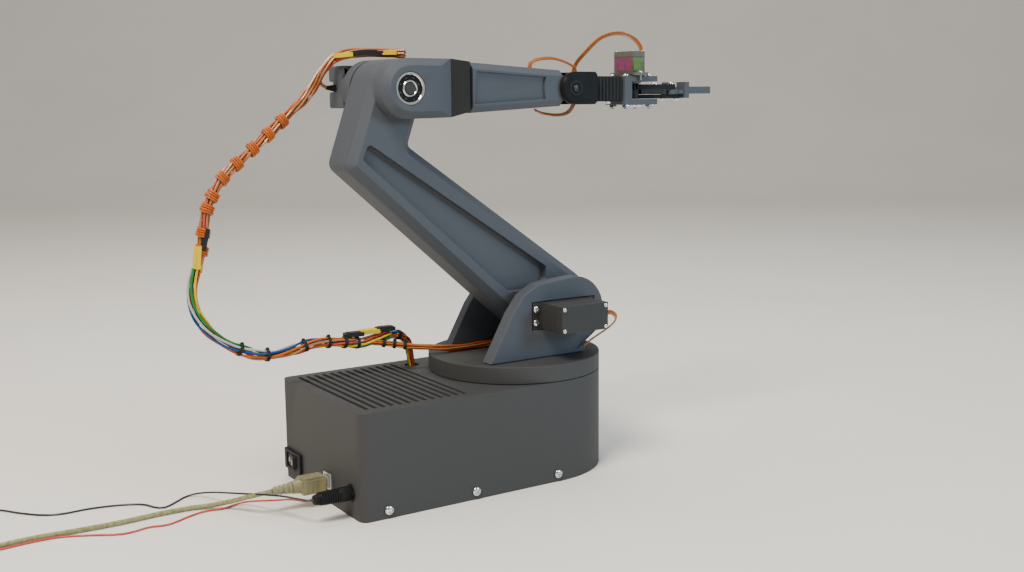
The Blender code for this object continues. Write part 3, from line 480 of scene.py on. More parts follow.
def screw_mesh(radius, height, drive):
    """A domed head that faces +Z from z = 0, with a cross or hexagon recess."""
    work = bmesh.new()
    dome = [(radius * math.cos(a), height * 0.35 + height * 0.65 * math.sin(a))
            for a in (math.radians(15 * i) for i in range(6))]
    add_lathe(work, [(0, 0), (radius, 0)] + dome + [(0, height)], (0, 0, 0), (0, 0, 1), sides=20)
    tool = bmesh.new()
    if drive == "cross":
        arm, half = radius * 0.62, radius * 0.14
        quarter = [(half, half), (half, arm), (-half, arm)]
        turns = [Matrix.Rotation(math.pi / 2 * turn, 2) for turn in range(4)]
        outline = [turn @ Vector(corner) for turn in turns for corner in quarter]
        rows = []
        for z in (height * 0.35, height * 2):
            rows.append([tool.verts.new(Vector((x, y, z)) * MM) for x, y in outline])
        tool.faces.new(rows[0])
        tool.faces.new(rows[1])
        for i in range(12):
            k = (i + 1) % 12
            tool.faces.new((rows[0][i], rows[0][k], rows[1][k], rows[1][i]))
    else:
        add_lathe(tool, [(0, height * 0.3), (radius * 0.5, height * 0.3), (radius * 0.5, height * 2),
                         (0, height * 2)], (0, 0, 0), (0, 0, 1), sides=6)
    return carved(solid("screw", work), [solid("recess", tool)])


def stamp(work, mesh, place, direction, spin=0.0, slot=0):
    """Adds a copy of a small mesh, laid along a direction."""
    before = len(work.faces)
    start = len(work.verts)
    work.from_mesh(mesh)
    work.verts.ensure_lookup_table()
    work.faces.ensure_lookup_table()
    bmesh.ops.transform(work, matrix=Matrix.Translation(Vector(place) * MM) @ turn_to(direction, spin),
                        verts=work.verts[start:])
    paint(work.faces[before:], slot)


def screws(name, body, places, radius, height=None, colour="screw_steel", replaces=(), shank=0.0):
    head = screw_mesh(radius, height or radius * 0.6, "cross")
    work = bmesh.new()
    for i, (place, direction) in enumerate(places):
        stamp(work, head, place, direction, spin=0.7 * i)
        if shank:
            add_rod(work, place, Vector(place) - Vector(direction) * shank, radius * 0.45, sides=10)
    return piece(name, work, [colour], body, replaces)


BIG = {"x": (-10.2, 30.5), "half": 9.85, "case": 37.0, "flange": 27.0, "ear": 6.9, "seams": (8.2, 25.6)}
SMALL = {"x": (-6.0, 16.8), "half": 6.1, "case": 22.7, "flange": 16.0, "ear": 4.7, "seams": (4.4, 17.6)}


def servo(node, size, origin, shaft, run, colour="servo_black", label=False):
    """Seams round the case, screws in its back and ears, and a plain coloured label on two sides."""
    shaft, run = Vector(shaft), Vector(run)
    turn = Matrix((run, shaft.cross(run), shaft)).transposed()
    body = BODY_OF[node]

    def place(x, y, z):
        return Vector(origin) + turn @ Vector((x, y, z))

    def block(work, low, high, slot=0):
        ends = place(*low), place(*high)
        add_box(work, [min(pair) for pair in zip(*ends)], [max(pair) for pair in zip(*ends)], slot)

    refined(node, colour, 0.6 if size is BIG else 0.35)
    work = bmesh.new()
    low, high = size["x"]
    half = size["half"]
    for z in size["seams"]:
        block(work, (low - 0.04, -half - 0.04, z - 0.12), (high + 0.04, half + 0.04, z + 0.12))
    piece(node + "_seams", work, ["seam_black"], body)
    radius = 1.5 if size is BIG else 1.0
    inset = 2.2 if size is BIG else 1.5
    columns, rows = (low + inset, high - inset), (-half + inset, half - inset)
    corners = [(place(x, y, 0.05), -shaft) for x in columns for y in rows]
    screws(node + "_back_screws", body, corners, radius)
    reach = size["ear"] * 0.55
    columns, rows = (low - reach, high + reach), (-5.0, 5.0) if size is BIG else (0.0,)
    spots = [(place(x, y, size["flange"] + 0.05), -shaft) for x in columns for y in rows]
    screws(node + "_ear_screws", body, spots, 2.7 if size is BIG else 1.7, shank=6)
    if label:
        work = bmesh.new()
        start, end = size["seams"][0] + 0.9, size["case"] - 8.2
        sides = [((low + 1.0, -half - 0.10, start), (high - 1.8, -half - 0.02, end)),
                 ((low - 0.10, -half + 1.2, start), (low - 0.02, half - 3.0, end))]
        for slot, side in enumerate(sides):
            block(work, *side, slot)
        piece(node + "_label", work, ["label_plum", "label_green"], body)


def bearing(name, centre, out, depth, outer_body, inner_body, nodes):
    """A ball bearing seen from its open side: two races, a dark cage and eight balls."""
    def ring(low, high, lip):
        return [(low, 0), (low, depth - lip), (low + lip, depth), (high - lip, depth), (high, depth - lip),
                (high, 0)]

    work = bmesh.new()
    add_lathe(work, ring(9.0, 11.0, 0.4), centre, out, 0, 48, closed=True)
    add_lathe(work, [(5.7, 0.4), (5.7, depth - 1.3), (8.95, depth - 1.3), (8.95, 0.4)], centre, out, 1, 48,
              closed=True)
    ball = bmesh.new()
    bmesh.ops.create_icosphere(ball, subdivisions=2, radius=1.0 * MM)
    mesh = bpy.data.meshes.new("ball")
    ball.to_mesh(mesh)
    ball.free()
    turn = turn_to(out)
    for i in range(8):
        angle = math.radians(45 * i + 22)
        offset = turn @ Vector((7.4 * math.cos(angle), 7.4 * math.sin(angle), depth - 1.6))
        stamp(work, mesh, Vector(centre) + offset, out, slot=2)
    piece(name + "_outer", work, ["bearing_steel", "seam_black", "dark_steel"], outer_body, nodes[:1])
    work = bmesh.new()
    add_lathe(work, ring(4.1, 5.6, 0.4), centre, out, 0, 48, closed=True)
    piece(name + "_inner", work, ["bearing_steel"], inner_body, nodes[1:])


# Cords on the table

CORD_END_X = -376.0
USB_ROUTE = [(-201.1, USB_Y, USB_Z), (-206.5, -11.1, 15.2), (-211.5, -8, 13.8), (-215.3, -2, 11.4),
             (-218.5, 6, 8.2), (-223.5, 14.5, 4.9), (-231.5, 21.5, 2.4), (-244, 26, 1.8), (-265, 26.5, 1.8),
             (-291, 24.5, 1.8), (-316, 25, 1.8),
             (-336, 26.5, 1.8), (-352, 26.6, 1.8), (-364, 25.5, 1.8)]
RED_ROUTE = [(-187.2, DC_Y + 1.2, DC_Z - 0.6), (-190.2, DC_Y + 1.2, DC_Z - 0.6), (-192.2, -41, 15.8),
             (-195, -28, 13.5), (-199.5, -13, 9.5), (-204, 2, 5.8), (-208.5, 14, 2.6), (-214, 18, 1.1),
             (-225, 15, 0.8), (-237, 17, 0.8), (-249, 13, 0.8), (-261, 7, 0.8), (-268, 5.5, 0.8),
             (-277, 8, 0.8),
             (-287, 5.5, 0.8), (-297, 6, 0.8), (-313, 15, 0.8), (-329, 22.2, 0.8), (-341, 23.2, 0.8),
             (-353, 22.6, 0.8), (-364, 21.2, 0.8)]
BLACK_ROUTE = [(-187.2, DC_Y - 1.2, DC_Z + 0.8), (-190.4, DC_Y - 1.2, DC_Z + 0.8), (-194.5, -41, 17.4),
               (-199, -28, 16.4), (-206.5, -16, 15.5), (-214, -3, 14), (-220, 16, 10.5), (-224.5, 35, 6.5),
               (-230, 51, 2.4), (-238, 54, 0.8), (-248, 46, 0.8), (-257, 40, 0.8), (-262.5, 44, 0.8),
               (-268, 55, 0.8), (-282, 62.5, 0.8), (-300, 66.5, 0.8), (-318, 66.5, 0.8), (-330, 72, 0.8),
               (-341, 84, 0.8), (-351, 98, 0.8), (-362, 106.5, 0.8)]


def wound(centre, side, first, pitch, turns, level, leave):
    """Two layers of a coil, inwards on the table and outwards on top, that end leave turns past the start."""
    points = []
    steps = 16
    total = round(turns * steps)
    for layer in (0, 1):
        for i in range(total + layer * round(leave * steps)):
            share = min(1.0, i / total)
            radius = first - pitch * turns * (share if layer == 0 else 1 - share)
            angle = (i + layer * total) * 2 * math.pi / steps
            climb = min(1.0, i / 6) if layer else 0.0
            points.append(Vector((centre[0] - radius * math.sin(angle),
                                  centre[1] - side * radius * math.cos(angle),
                                  level + climb * level * 1.92)))
    return points


def cord_curve(name, points, diameter, colour):
    curve = bpy.data.curves.new(name, "CURVE")
    curve.dimensions = "3D"
    curve.bevel_depth = diameter / 2 * MM
    curve.bevel_resolution = 3
    curve.use_fill_caps = True
    spline = curve.splines.new("POLY")
    spline.points.add(len(points) - 1)
    for place, point in zip(spline.points, points):
        place.co = (*(point * MM), 1)
    spline.use_smooth = True
    curve.materials.append(look(colour))
    obj = bpy.data.objects.new(name, curve)
    bpy.context.scene.collection.objects.link(obj)
    return obj


def coil_tie(name, centre, radius, band, top, angle):
    """A thin strap looped once round the coil's turns."""
    out = Vector((math.cos(angle), math.sin(angle), 0))
    across = Vector((-out.y, out.x, 0))
    work = bmesh.new()
    inner = [(radius - band - 0.4, 0.25), (radius - band - 0.4, top + 0.5), (radius + band + 0.4, top + 0.5),
             (radius + band + 0.4, 0.25)]
    outer = [(radius - band - 1.0, 0.0), (radius - band - 1.0, top + 1.1), (radius + band + 1.0, top + 1.1),
             (radius + band + 1.0, 0.0)]
    rings = []
    for half in (-2.5, 2.5):
        for outline in (inner, outer):
            rings.append([work.verts.new((Vector((*centre, 0)) + out * r + across * half
                                          + Vector((0, 0, z))) * MM) for r, z in outline])
    for i in range(4):
        k = (i + 1) % 4
        for a, b in ((rings[0], rings[1]), (rings[1], rings[3]), (rings[3], rings[2]), (rings[2], rings[0])):
            work.faces.new((a[i], a[k], b[k], b[i]))
    return piece(name, work, ["tie"], "base")


def cords():
    usb_centre = (CORD_END_X - 17.3, 27 + 19.0)
    coil = wound(usb_centre, 1, 22.2, 3.4, 2, 1.8, 0)
    x, y = usb_centre
    tail = [(x, y - 22.2, 5.3), (x - 10, y - 25.0, 5.6), (x - 20, y - 26.4, 6.4), (x - 29.3, y - 22.5, 7.8),
            (x - 33.2, y - 13.2, 9.3), (x - 29.3, y - 3.9, 10.7), (x - 23.4, y - 0.4, 11.4),
            (x - 18.3, y, 11.5)]
    approach = USB_ROUTE + [(x + 6, y - 22.0, 1.8)]
    path = smooth(approach, 6.0)[:-1] + coil + smooth(tail, 4.0)
    usb = cord_curve("usb_lead", path, 3.3, "olive_cable")
    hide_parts("usb_cable", "usb_cable_coil")
    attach(usb, "base")
    near = usb_plug()
    far = usb_a_plug(usb_centre)
    tie = coil_tie("usb_tie", usb_centre, 19.0, 5.2, 7.0, math.radians(-60))
    supply_lead("red", RED_ROUTE, (CORD_END_X - 7.5, 12.0), -1, "wire_red", ["red_wire", "red_wire_coil"],
                [dc_plug()])
    supply_lead("black", BLACK_ROUTE, (CORD_END_X - 7.5, 118.0), 1, "wire_black",
                ["black_wire", "black_wire_coil"], [])


def supply_lead(word, route, centre, side, colour, nodes, pieces):
    """A thin lead wound into a small coil, with a stripped and tinned end."""
    coil = wound(centre, side, 9.3, 1.42, 2, 0.75, 0.3)
    path = smooth([*route, (centre[0] + 4, centre[1] - side * 9.0, 0.75)], 4.2)[:-1] + coil
    lead = cord_curve(word + "_lead", path, 1.35, colour)
    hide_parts(*nodes)
    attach(lead, "base")
    work = bmesh.new()
    heading = (path[-1] - path[-2]).normalized()
    add_rod(work, path[-1] - heading * 0.5, path[-1] + heading * 5.5, 0.45, sides=8, round_off=0.2)
    end = piece(word + "_tinned_end", work, ["tin"], "base")
    tie = coil_tie(word + "_tie", centre, 8.0, 2.2, 2.9, math.radians(100))


def usb_plug():
    """The square plug's clear hood, with finger grooves and a ribbed strain relief."""
    work = bmesh.new()
    add_box(work, (-181.5, USB_Y - 6.6, USB_Z - 5.6), (-163.0, USB_Y + 6.6, USB_Z + 5.6), 0, 1.4)
    add_rod(work, (-181.4, USB_Y, USB_Z), (-186.5, USB_Y, USB_Z), 5.0, 0, 20, 4.2)
    for i in range(4):
        x = -187.0 - i * 3.3
        add_rod(work, (x, USB_Y, USB_Z), (x - 2.0, USB_Y, USB_Z), 4.1 - 0.32 * i, 0, 18, 3.9 - 0.32 * i, 0.3)
    add_rod(work, (-186, USB_Y, USB_Z), (-200.4, USB_Y, USB_Z), 3.2, 0, 16, 2.2)
    add_box(work, (-163.2, USB_Y - 3.9, USB_Z - 3.8), (-152.0, USB_Y + 3.9, USB_Z + 3.8), 1, 0.8)
    for side in (-1, 1):
        for i in range(3):
            x = -178.5 + i * 3.4
            y = USB_Y + side * 6.6
            add_box(work, (x, y - 0.35, USB_Z - 3.6), (x + 1.4, y + 0.2, USB_Z + 3.6), 0, 0.2)
    return piece("usb_hood", work, ["olive_clear", "socket_steel"], "base", ["usb_plug"])


def usb_a_plug(centre):
    """The flat plug on the cable's other end, lying on the coil."""
    x, y = centre
    work = bmesh.new()
    add_box(work, (x - 14.0, y - 7.8, 7.6), (x + 10.0, y + 7.8, 15.4), 0, 1.2)
    add_rod(work, (x - 13.8, y, 11.5), (x - 18.0, y, 11.5), 3.4, 0, 16, 2.4, 0.3)
    add_box(work, (x + 9.8, y - 6.0, 9.3), (x + 21.9, y + 6.0, 13.8), 1, 0.4)
    for side in (-1, 1):
        add_box(work, (x + 14.0, y + side * 2.8 - 1.1, 13.7), (x + 16.4, y + side * 2.8 + 1.1, 13.9), 2)
    return piece("usb_flat_plug", work, ["olive_clear", "socket_steel", "seam_black"], "base", ["usb_a_plug"])


def dc_plug():
    """The barrel plug: a collar, a grip of raised rings and a tapering sleeve."""
    profile = [(0, 0), (4.9, 0), (5.0, 0.6), (5.0, 7.6), (4.6, 8.2)]
    for i in range(8):
        x = 8.6 + i * 1.6
        profile += [(4.3, x), (4.9 - 0.06 * i, x + 0.3), (4.9 - 0.06 * i, x + 1.0), (4.2, x + 1.3)]
    profile += [(3.9, 22.2), (3.2, 25.2), (2.6, 25.6), (0, 25.6)]
    work = bmesh.new()
    add_lathe(work, profile, (-161.2, DC_Y, DC_Z), (-1, 0, 0), 0, 28)
    add_rod(work, (-161.6, DC_Y, DC_Z), (-151.2, DC_Y, DC_Z), 2.75, 1, 18, round_off=0.3)
    return piece("barrel_plug", work, ["deep_black", "socket_steel"], "base", ["dc_plug"])


# Base

def base():
    refined("base_shell", "base_black", 0.7)
    refined("turntable", "base_black", 0.6)
    kept("base_black", "base_floor")
    kept("board", "control_board")
    places = []
    for side in (-1, 1):
        places += [((x, side * (BASE_R + 0.1), 6.0), (0, side, 0)) for x in (-140.7, -73.4, -4.7)]
    nodes = [f"base_screw_{i}" for i in range(1, 7)]
    screws("base_screws", "base", places, 3.2, 2.0, replaces=nodes, shank=8)
    servo("yaw_servo", BIG, (0, 0, 36.0), (0, 0, 1), (-1, 0, 0))
    kept("horn_aluminium", "yaw_horn")
    refined("usb_socket", "socket_steel", 0.4)
    refined("dc_socket", "deep_black", 0.3)
    refined("switch_frame", "deep_black", 0.7)
    rocker()


def rocker():
    """The rocker keeps its CAD shape and gets a plain ring and bar, one on each half."""
    refined("switch_rocker", "servo_black", 0.5)
    work = bmesh.new()
    slope = math.atan2(1.3, 7.0)
    out = Vector((-math.cos(slope), -math.sin(slope), 0))
    ring = [(1.2, 0), (1.2, 0.12), (1.75, 0.12), (1.75, 0)]
    add_lathe(work, ring, (-161.95, 50.3, 15.2), (-1, 0.16, 0), 0, 24, closed=True)
    middle = Vector((-163.75, 42.0, 15.2)) + out * 0.02
    add_box(work, middle - Vector((0.12, 0.28, 1.7)), middle + Vector((0.12, 0.28, 1.7)))
    piece("rocker_marks", work, ["mark_white"], "power_rocker")


# Waist

def waist():
    for node in ("waist_near_cheek", "waist_far_cheek"):
        refined(node, "arm_black", 0.8)
    servo("shoulder_servo", BIG, (SHOULDER.x, -65.5, SHOULDER.z), (0, 1, 0), (-1, 0, 0))
    bearing("shoulder_bearing", (SHOULDER.x, 22.2, SHOULDER.z), (0, 1, 0), 6.6, "waist", "waist",
            ["shoulder_bearing"])
    route = [(40.0, -61.0, 118.0), (46.5, -59.5, 117.5), (54.0, -55.5, 113.0), (55.5, -51.0, 107.5),
             (50.0, -47.5, 102.0), (42.0, -44.0, 96.5), (34.0, -42.6, 91.5)]
    ribbon("shoulder_servo_lead", route, 1.25, "waist", ["shoulder_servo_cable"])


def ribbon(name, route, strand, body, replaces):
    """A flat servo lead: three strands side by side along a route."""
    points = smooth(route, 2.2)
    work = bmesh.new()
    for index in range(3):
        shifted = [point + up * (index - 1) * strand * 0.93 for point, (_, _, up) in zip(points, along(points))]
        add_sweep(work, shifted, strand / 2, index, 8)
    return piece(name, work, ["wire_brown", "wire_tan", "wire_tan"], body, replaces)


# Lower arm

def lower_arm():
    refined("lower_arm_near", "arm_black", 0.5)
    refined("lower_arm_far", "arm_black", 1.2)
    kept("horn_aluminium", "shoulder_horn", "elbow_horn")
    refined("shoulder_pin", "dark_steel", 0.3)
    refined("elbow_pin", "servo_black", 0.4)


# Upper arm

def upper_arm():
    def outside_bearing(point):
        return (point - Vector((ELBOW.x, point.y, ELBOW.z))).length > 13

    rims = [("Y", -37.0, 5.0, outside_bearing),
            ("Y", 28.5, 3.0, lambda point: outside_bearing(point) and point.x > -120)]
    fork = refined("elbow_fork", "arm_black", 0.6, rims)
    fork.data.materials.append(look("collar_black"))
    for face in fork.data.polygons:
        face.material_index = 1 if face.center.x > -74.0 * MM else 0
    bearing("elbow_bearing", (ELBOW.x, -30.1, ELBOW.z), (0, -1, 0), 6.5, "upper_arm", "lower_arm",
            ["elbow_bearing_outer", "elbow_bearing_inner"])
    refined("elbow_servo_cradle", "arm_black", 1.4)
    servo("elbow_servo", BIG, (ELBOW.x, 58.3, ELBOW.z), (0, -1, 0), (1, 0, 0))
    refined("roll_servo", "servo_black", 0.4)


# Forearm

def panel_cutter():
    """The long recess in the near side, which tapers; its floor is kept parallel to that side."""
    curve = [(PITCH.x - 25.5 * math.cos(a), PITCH.z + 25.5 * math.sin(a))
             for a in (math.radians(18.5 - 6 * i) for i in range(7))]
    outline = [(-41.6, 291.4), *curve, (-43.4, 268.7)]
    work = bmesh.new()
    loops = []
    for outer in (True, False):
        loop = []
        for x, z in outline:
            face = -20.0 + (x + 44.7) * (5.5 / 80.7)
            loop.append(work.verts.new(Vector((x, face + (-3.0 if outer else 2.0), z)) * MM))
        loops.append(loop)
    work.faces.new(loops[0])
    work.faces.new(loops[1][::-1])
    for i in range(len(outline)):
        k = (i + 1) % len(outline)
        work.faces.new((loops[0][i], loops[1][i], loops[1][k], loops[0][k]))
    return solid("panel", work)


def forearm():
    refined("forearm_shell", "arm_black", 0.5, tools=[panel_cutter()])
    kept("horn_aluminium", "roll_horn")
    servo("wrist_servo", SMALL, (PITCH.x, -11.7, PITCH.z), (0, 1, 0), (-1, 0, 0))


# Wrist and gripper

def wrist():
    rims = [("Y", -19.0, 1.6, lambda p: (p - Vector((PITCH.x, p.y, PITCH.z))).length > 3)]
    refined("wrist_fork", "deep_black", 0.4, rims)
    work = bmesh.new()
    ring = [(4.4, 0), (4.4, 0.45), (5.4, 0.45), (5.4, 0)]
    add_lathe(work, ring, (PITCH.x, -19.0, PITCH.z), (0, -1, 0), 0, 32, closed=True)
    piece("wrist_ring", work, ["deep_black"], "wrist")
    screws("wrist_screw", "wrist", [((PITCH.x, -19.2, PITCH.z), (0, -1, 0))], 2.7, 1.1, colour="dark_steel",
           replaces=["wrist_pivot_screw"], shank=4.5)
    neck()
    refined("gripper_base", "arm_black", 0.5)
    servo("gripper_servo", SMALL, (GEAR_AXIS_X, ARM_MID_Y - GEAR_PITCH_R, 307.3), (0, 0, -1), (0, 1, 0),
          "smoky_case", label=True)
    bolts()


def neck():
    """The ribbed block behind the gripper."""
    work = bmesh.new()
    add_box(work, (65.9, -12.6, 269.5), (92.6, 5.6, 288.3), 0, 0.6)
    for side, face in ((-1, -13.5), (1, 6.5)):
        for i in range(8):
            x = 67.0 + i * 3.3
            low, high = sorted((face, face - side * 1.2))
            add_box(work, (x, low, 270.1), (x + 1.7, high, 287.7), 0, 0.3)
    piece("gripper_neck_shape", work, ["deep_black"], "wrist", ["gripper_neck"])


def bolts():
    """Vertical bolts through the bracket: socket heads on top, thread ends and nuts underneath."""
    head = screw_mesh(2.4, 1.9, "hex")
    work = bmesh.new()
    for x, y in ((97.0, -11.5), (97.0, 4.5), (119.5, -12.0), (119.5, 5.0)):
        stamp(work, head, (x, y, 288.5), (0, 0, 1))
        add_rod(work, (x, y, 266.9), (x, y, 262.9), 1.45, 0, 12, round_off=0.3)
        add_lathe(work, [(0, 0), (3.0, 0), (3.1, 0.3), (3.1, 2.0), (2.8, 2.3), (0, 2.3)], (x, y, 266.75),
                  (0, 0, -1), 0, 6)
    for x, offset in ((GEAR_AXIS_X, GEAR_PITCH_R), (113.5, 3.6)):
        for side in (-1, 1):
            stamp(work, head, (x, ARM_MID_Y + side * offset, 266.75), (0, 0, -1))
    for x in (72.0, 86.0):
        stamp(work, head, (x, ARM_MID_Y, 269.45), (0, 0, -1))
    piece("bracket_bolts", work, ["screw_steel"], "wrist")


def gripper():
    for word, side in (("near", -1), ("far", 1)):
        reach = Vector((math.cos(REST_ANGLE), side * math.sin(REST_ANGLE), 0)) * LINK_LENGTH
        arm_end = Vector((GEAR_AXIS_X, ARM_MID_Y + side * GEAR_PITCH_R, 0)) + reach
        link_end = Vector((113.5, ARM_MID_Y + side * 3.6, 0)) + reach
        refined(f"gear_arm_{word}", "deep_black", 0.2)
        refined(f"link_{word}", "deep_black", 0.3)
        refined(f"jaw_{word}", "arm_black", 0.3)
        head = screw_mesh(2.3, 1.8, "hex")
        work = bmesh.new()
        stamp(work, head, arm_end + Vector((0, 0, 282.2)), (0, 0, 1))
        hub = (GEAR_AXIS_X, ARM_MID_Y + side * GEAR_PITCH_R)
        add_rod(work, (*hub, 271.2), (*hub, 278.5), 3.9, 1, 24)
        add_rod(work, (*hub, 282.2), (*hub, 284.1), 4.2, 1, 24)
        skirt = add_box(work, (5.0, 2.0, 274.6), (25.0, 3.4, 278.6), 1, 0.0)
        turn = Matrix.Translation(Vector((*hub, 0)) * MM) @ Matrix.Rotation(side * REST_ANGLE, 4, "Z")
        if side < 0:
            turn = turn @ Matrix.Diagonal((1, -1, 1, 1))
        bmesh.ops.transform(work, matrix=turn, verts=skirt)
        piece(f"arm_bolt_{word}", work, ["screw_steel", "deep_black"], f"gear_arm_{word}")
        work = bmesh.new()
        stamp(work, head, link_end + Vector((0, 0, 271.3)), (0, 0, -1))
        piece(f"link_bolt_{word}", work, ["screw_steel"], f"link_{word}")
        work = bmesh.new()
        face = ARM_MID_Y + side * 4.0
        for i in range(14):
            x = 160.0 + i * 1.6
            low, high = sorted((face - side * 0.11, face + side * 0.3))
            add_box(work, (x, low, 275.2), (x + 0.8, high, 280.0), 0, 0.04)
        piece(f"grip_ridges_{word}", work, ["deep_black"], f"jaw_{word}")


# Wiring that crosses the joints

def bundle(name, route, colours, spread, strand, twist, replaces=(), ties=(), wraps=(), spacing=2.6):
    """Loose parallel wires that slowly turn about their middle.

    ties and wraps are shares of the length that have a strap or a short spiral of a two-wire lead."""
    points = smooth(route, spacing)
    frames = along(points)
    count = len(colours)
    kinds = sorted(set(colours)) + ["deep_black"]
    work = bmesh.new()
    for index, colour in enumerate(colours):
        outer = index > 0
        radius = spread if outer else 0.0
        strand_points = []
        for i, (point, (_, side, up)) in enumerate(zip(points, frames)):
            angle = 2 * math.pi * (index - 1) / max(1, count - 1) + twist * i / len(points) * 2 * math.pi
            loose = 1 + 0.22 * math.sin(1.7 * index + 0.55 * i) * math.sin(math.pi * i / len(points))
            strand_points.append(point + (side * math.cos(angle) + up * math.sin(angle)) * radius * loose)
        add_sweep(work, strand_points, strand / 2, kinds.index(colour), 7)
    for share in ties:
        i = min(len(points) - 2, max(1, round(share * len(points))))
        tangent = frames[i][0]
        size = spread + strand / 2
        strap = [(size - 0.2, -1.1), (size + 0.7, -1.1), (size + 0.7, 1.1), (size - 0.2, 1.1)]
        add_lathe(work, strap, points[i], tangent, len(kinds) - 1, 20, closed=True)
        lump = points[i] + frames[i][2] * (size + 0.7)
        add_box(work, lump - Vector((1.1, 1.1, 1.1)), lump + Vector((1.1, 1.1, 1.1)), len(kinds) - 1, 0.3)
    for share in wraps:
        middle = share * len(points)
        for lane, colour in enumerate(("wire_tan", "wire_orange")):
            turns = []
            for step in range(29):
                reach = (step / 28 - 0.5) * 5.0 + lane * 1.5
                i = min(len(points) - 2, max(0, int(middle + reach / spacing)))
                tangent, side, up = frames[i]
                angle = step / 28 * 3.2 * math.pi
                spot = points[i] + tangent * (middle * spacing + reach - i * spacing)
                around = side * math.cos(angle) + up * math.sin(angle)
                turns.append(spot + around * (spread + strand + 0.15))
            add_sweep(work, turns, 0.75, kinds.index(colour), 6)
    return piece(name, work, kinds, None, replaces), points


def connector(work, place, direction, slot, size=(7.8, 2.7, 14.0)):
    """A three-way servo connector housing with its long raised key."""
    matrix = Matrix.Translation(Vector(place) * MM) @ turn_to(direction)
    w, t, h = (value / 2 for value in size)
    housing = (-w, -t, -h), (w, t, h)
    key = (-w * 0.8, t - 0.1, -h * 0.7), (w * 0.8, t + 0.5, h * 0.7)
    for low, high in (housing, key):
        made = add_box(work, low, high, slot, 0.0)
        bmesh.ops.transform(work, matrix=matrix, verts=made)


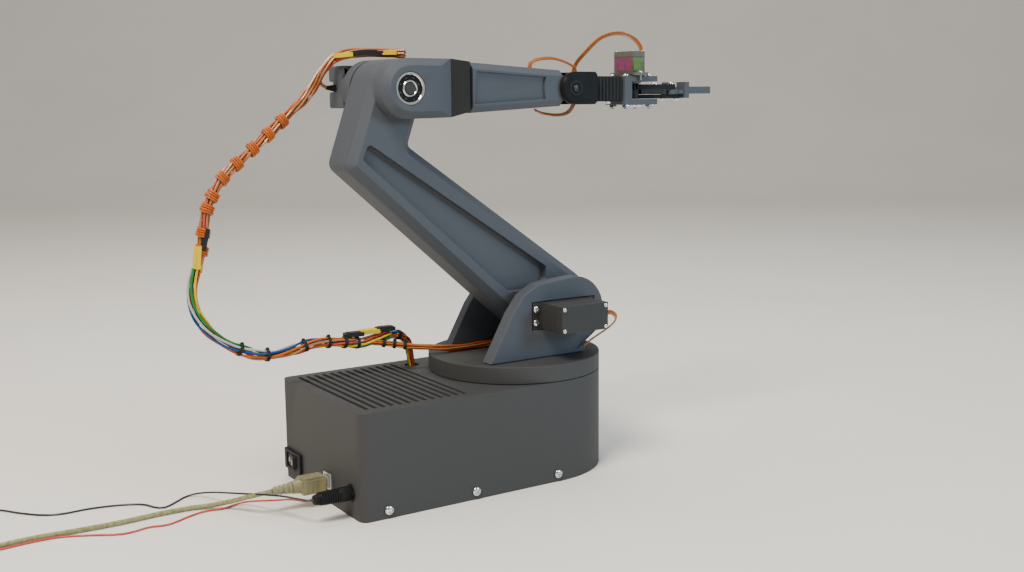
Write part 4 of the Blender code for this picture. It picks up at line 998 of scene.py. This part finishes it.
def harness():
    foot_route = [(-62.0, 47.0, 66.0), (-63.5, 46.5, 80.0), (-67.0, 44.5, 92.0), (-75.0, 42.0, 98.5),
                  (-86.0, 40.0, 100.0)]
    low_route = [(-84.0, 40.2, 100.0), (-98.0, 38.0, 98.5), (-110.0, 37.0, 97.5), (-130.0, 36.0, 100.5),
                 (-147.0, 36.0, 101.5), (-163.0, 36.0, 98.5), (-181.0, 36.0, 97.2), (-196.0, 36.0, 101.3),
                 (-212.0, 36.0, 110.0), (-225.0, 36.0, 122.5), (-231.5, 36.0, 137.0), (-232.0, 36.0, 150.0),
                 (-228.5, 36.0, 162.0)]
    high_route = [(-227.3, 36.0, 164.6), (-224.0, 36.0, 176.0), (-222.0, 36.0, 190.0), (-219.0, 36.0, 202.0),
                  (-213.5, 36.0, 213.0), (-206.0, 36.0, 223.0), (-191.0, 36.0, 236.0), (-178.0, 36.5, 246.5),
                  (-158.0, 38.0, 263.0), (-146.0, 39.0, 273.0), (-137.5, 39.0, 283.0), (-130.5, 38.5, 293.5),
                  (-120.5, 36.0, 302.5), (-105.0, 30.0, 305.0), (-90.0, 22.0, 304.8), (-80.0, 13.0, 303.8)]
    mixed = ["wire_black", "wire_orange", "wire_brown", "wire_red", "wire_yellow", "wire_green", "wire_white",
             "wire_blue"]
    warm = ["wire_brown", "wire_tan", "wire_brown", "wire_red", "wire_brown", "wire_tan", "wire_brown",
            "wire_orange"]
    foot, points = bundle("harness_foot", foot_route, mixed, 2.3, 1.5, 0.4, ties=(0.75,))
    held(foot)
    low, points = bundle("harness_loop", low_route, mixed, 2.9, 1.7, 1.1, ["harness_lower"],
                         ties=(0.14, 0.2, 0.26, 0.36, 0.5, 0.62))
    held(low)
    high, points = bundle("harness_rise", high_route, warm, 2.5, 1.7, 1.3, ["harness_upper"], spacing=2.4,
                          wraps=(0.04, 0.09, 0.16, 0.20, 0.26, 0.32, 0.385, 0.45, 0.51))
    held(high)
    work = bmesh.new()
    for i, (x, y, z, colour) in enumerate(((-228.6, 32.5, 170.0, 1), (-225.0, 38.5, 166.5, 1),
                                           (-222.6, 34.5, 181.5, 0))):
        connector(work, (x, y, z), (0.1 + 0.08 * i, 0, 1), colour, (7.4, 2.9, 15.0))
    piece("loop_connectors", work, ["deep_black", "plug_yellow"], "lower_arm")
    work = bmesh.new()
    for i in range(3):
        connector(work, (-88.0 - 13.0 * i, 39.0 - 0.5 * i, 105.2 - 0.6 * i), (1, -0.1, 0), i % 2)
    piece("foot_connectors", work, ["deep_black", "plug_yellow"], "waist")
    work = bmesh.new()
    spots = (((-119.0, 31.0, 303.0), (1, -0.3, 0.1), 1, 13.0),
             ((-103.0, 25.5, 304.6), (1, -0.45, 0), 0, 20.0),
             ((-88.5, 18.5, 304.6), (1, -0.6, 0), 1, 9.0))
    for place, direction, colour, length in spots:
        connector(work, place, direction, colour, (7.0, 2.7, length))
    piece("elbow_connectors", work, ["deep_black", "plug_yellow"], "upper_arm")
    work = bmesh.new()
    add_rod(work, (-118.5, 44.5, 280.5), (-127.0, 44.0, 281.0), 2.7, 0, 16, 1.4, 0.3)
    lead = [(-126.5, 44.0, 281.0), (-131.0, 43.5, 284.0), (-131.5, 42.0, 290.0), (-127.5, 39.5, 297.0),
            (-121.0, 37.0, 301.5)]
    add_sweep(work, smooth(lead, 2.0), 1.3, 1, 8)
    piece("elbow_servo_lead", work, ["deep_black", "wire_brown"], "upper_arm")
    waist_route = [(-104.0, 37.5, 97.6), (-90.0, 33.5, 95.0), (-76.0, 27.0, 92.8), (-62.0, 21.0, 91.0),
                   (-50.0, 17.8, 89.6), (-36.0, 17.2, 88.8), (-18.0, 17.2, 88.6), (-4.0, 17.2, 88.6)]
    colours = ["wire_orange", "wire_orange", "wire_brown", "wire_red", "wire_orange", "wire_brown"]
    lead, _ = bundle("waist_lead", waist_route, colours, 1.6, 1.4, 0.3, ties=(0.12, 0.2, 0.28))
    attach(lead, "waist")
    wrist_leads()


def held(obj):
    """A wire bundle whose ends lie on the object across the joint between two bodies; its placement is baked
    into its mesh and it rides on neither body.
    """
    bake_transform(obj)


def wrist_leads():
    gripper_route = [(114.5, -7.0, 306.0), (115.5, -6.5, 310.0), (111.0, -3.5, 317.0), (98.0, -1.0, 321.0),
                     (85.0, 4.0, 317.5), (76.0, 11.5, 307.0), (71.0, 18.5, 297.0), (70.5, 20.5, 286.0),
                     (72.0, 20.5, 275.0), (69.5, 19.0, 267.0), (60.0, 14.0, 261.0), (46.0, 8.0, 259.5),
                     (29.5, 2.0, 261.0), (19.5, -2.0, 263.6)]
    wrist_route = [(16.0, 0.0, 293.4), (17.5, 0.5, 298.0), (25.0, 2.0, 300.8), (38.5, 3.5, 301.8),
                   (50.0, 4.0, 299.5), (57.5, 4.0, 296.5), (60.8, 4.0, 294.5), (61.2, 4.0, 291.4)]
    lead = ribbon("gripper_lead", gripper_route, 1.15, None, ["gripper_servo_cable"])
    held(lead)
    lead = ribbon("wrist_lead", wrist_route, 1.15, None, ["wrist_cable"])
    held(lead)


camera()
studio()
backdrop()
cords()
base()
waist()
lower_arm()
upper_arm()
forearm()
wrist()
gripper()
harness()
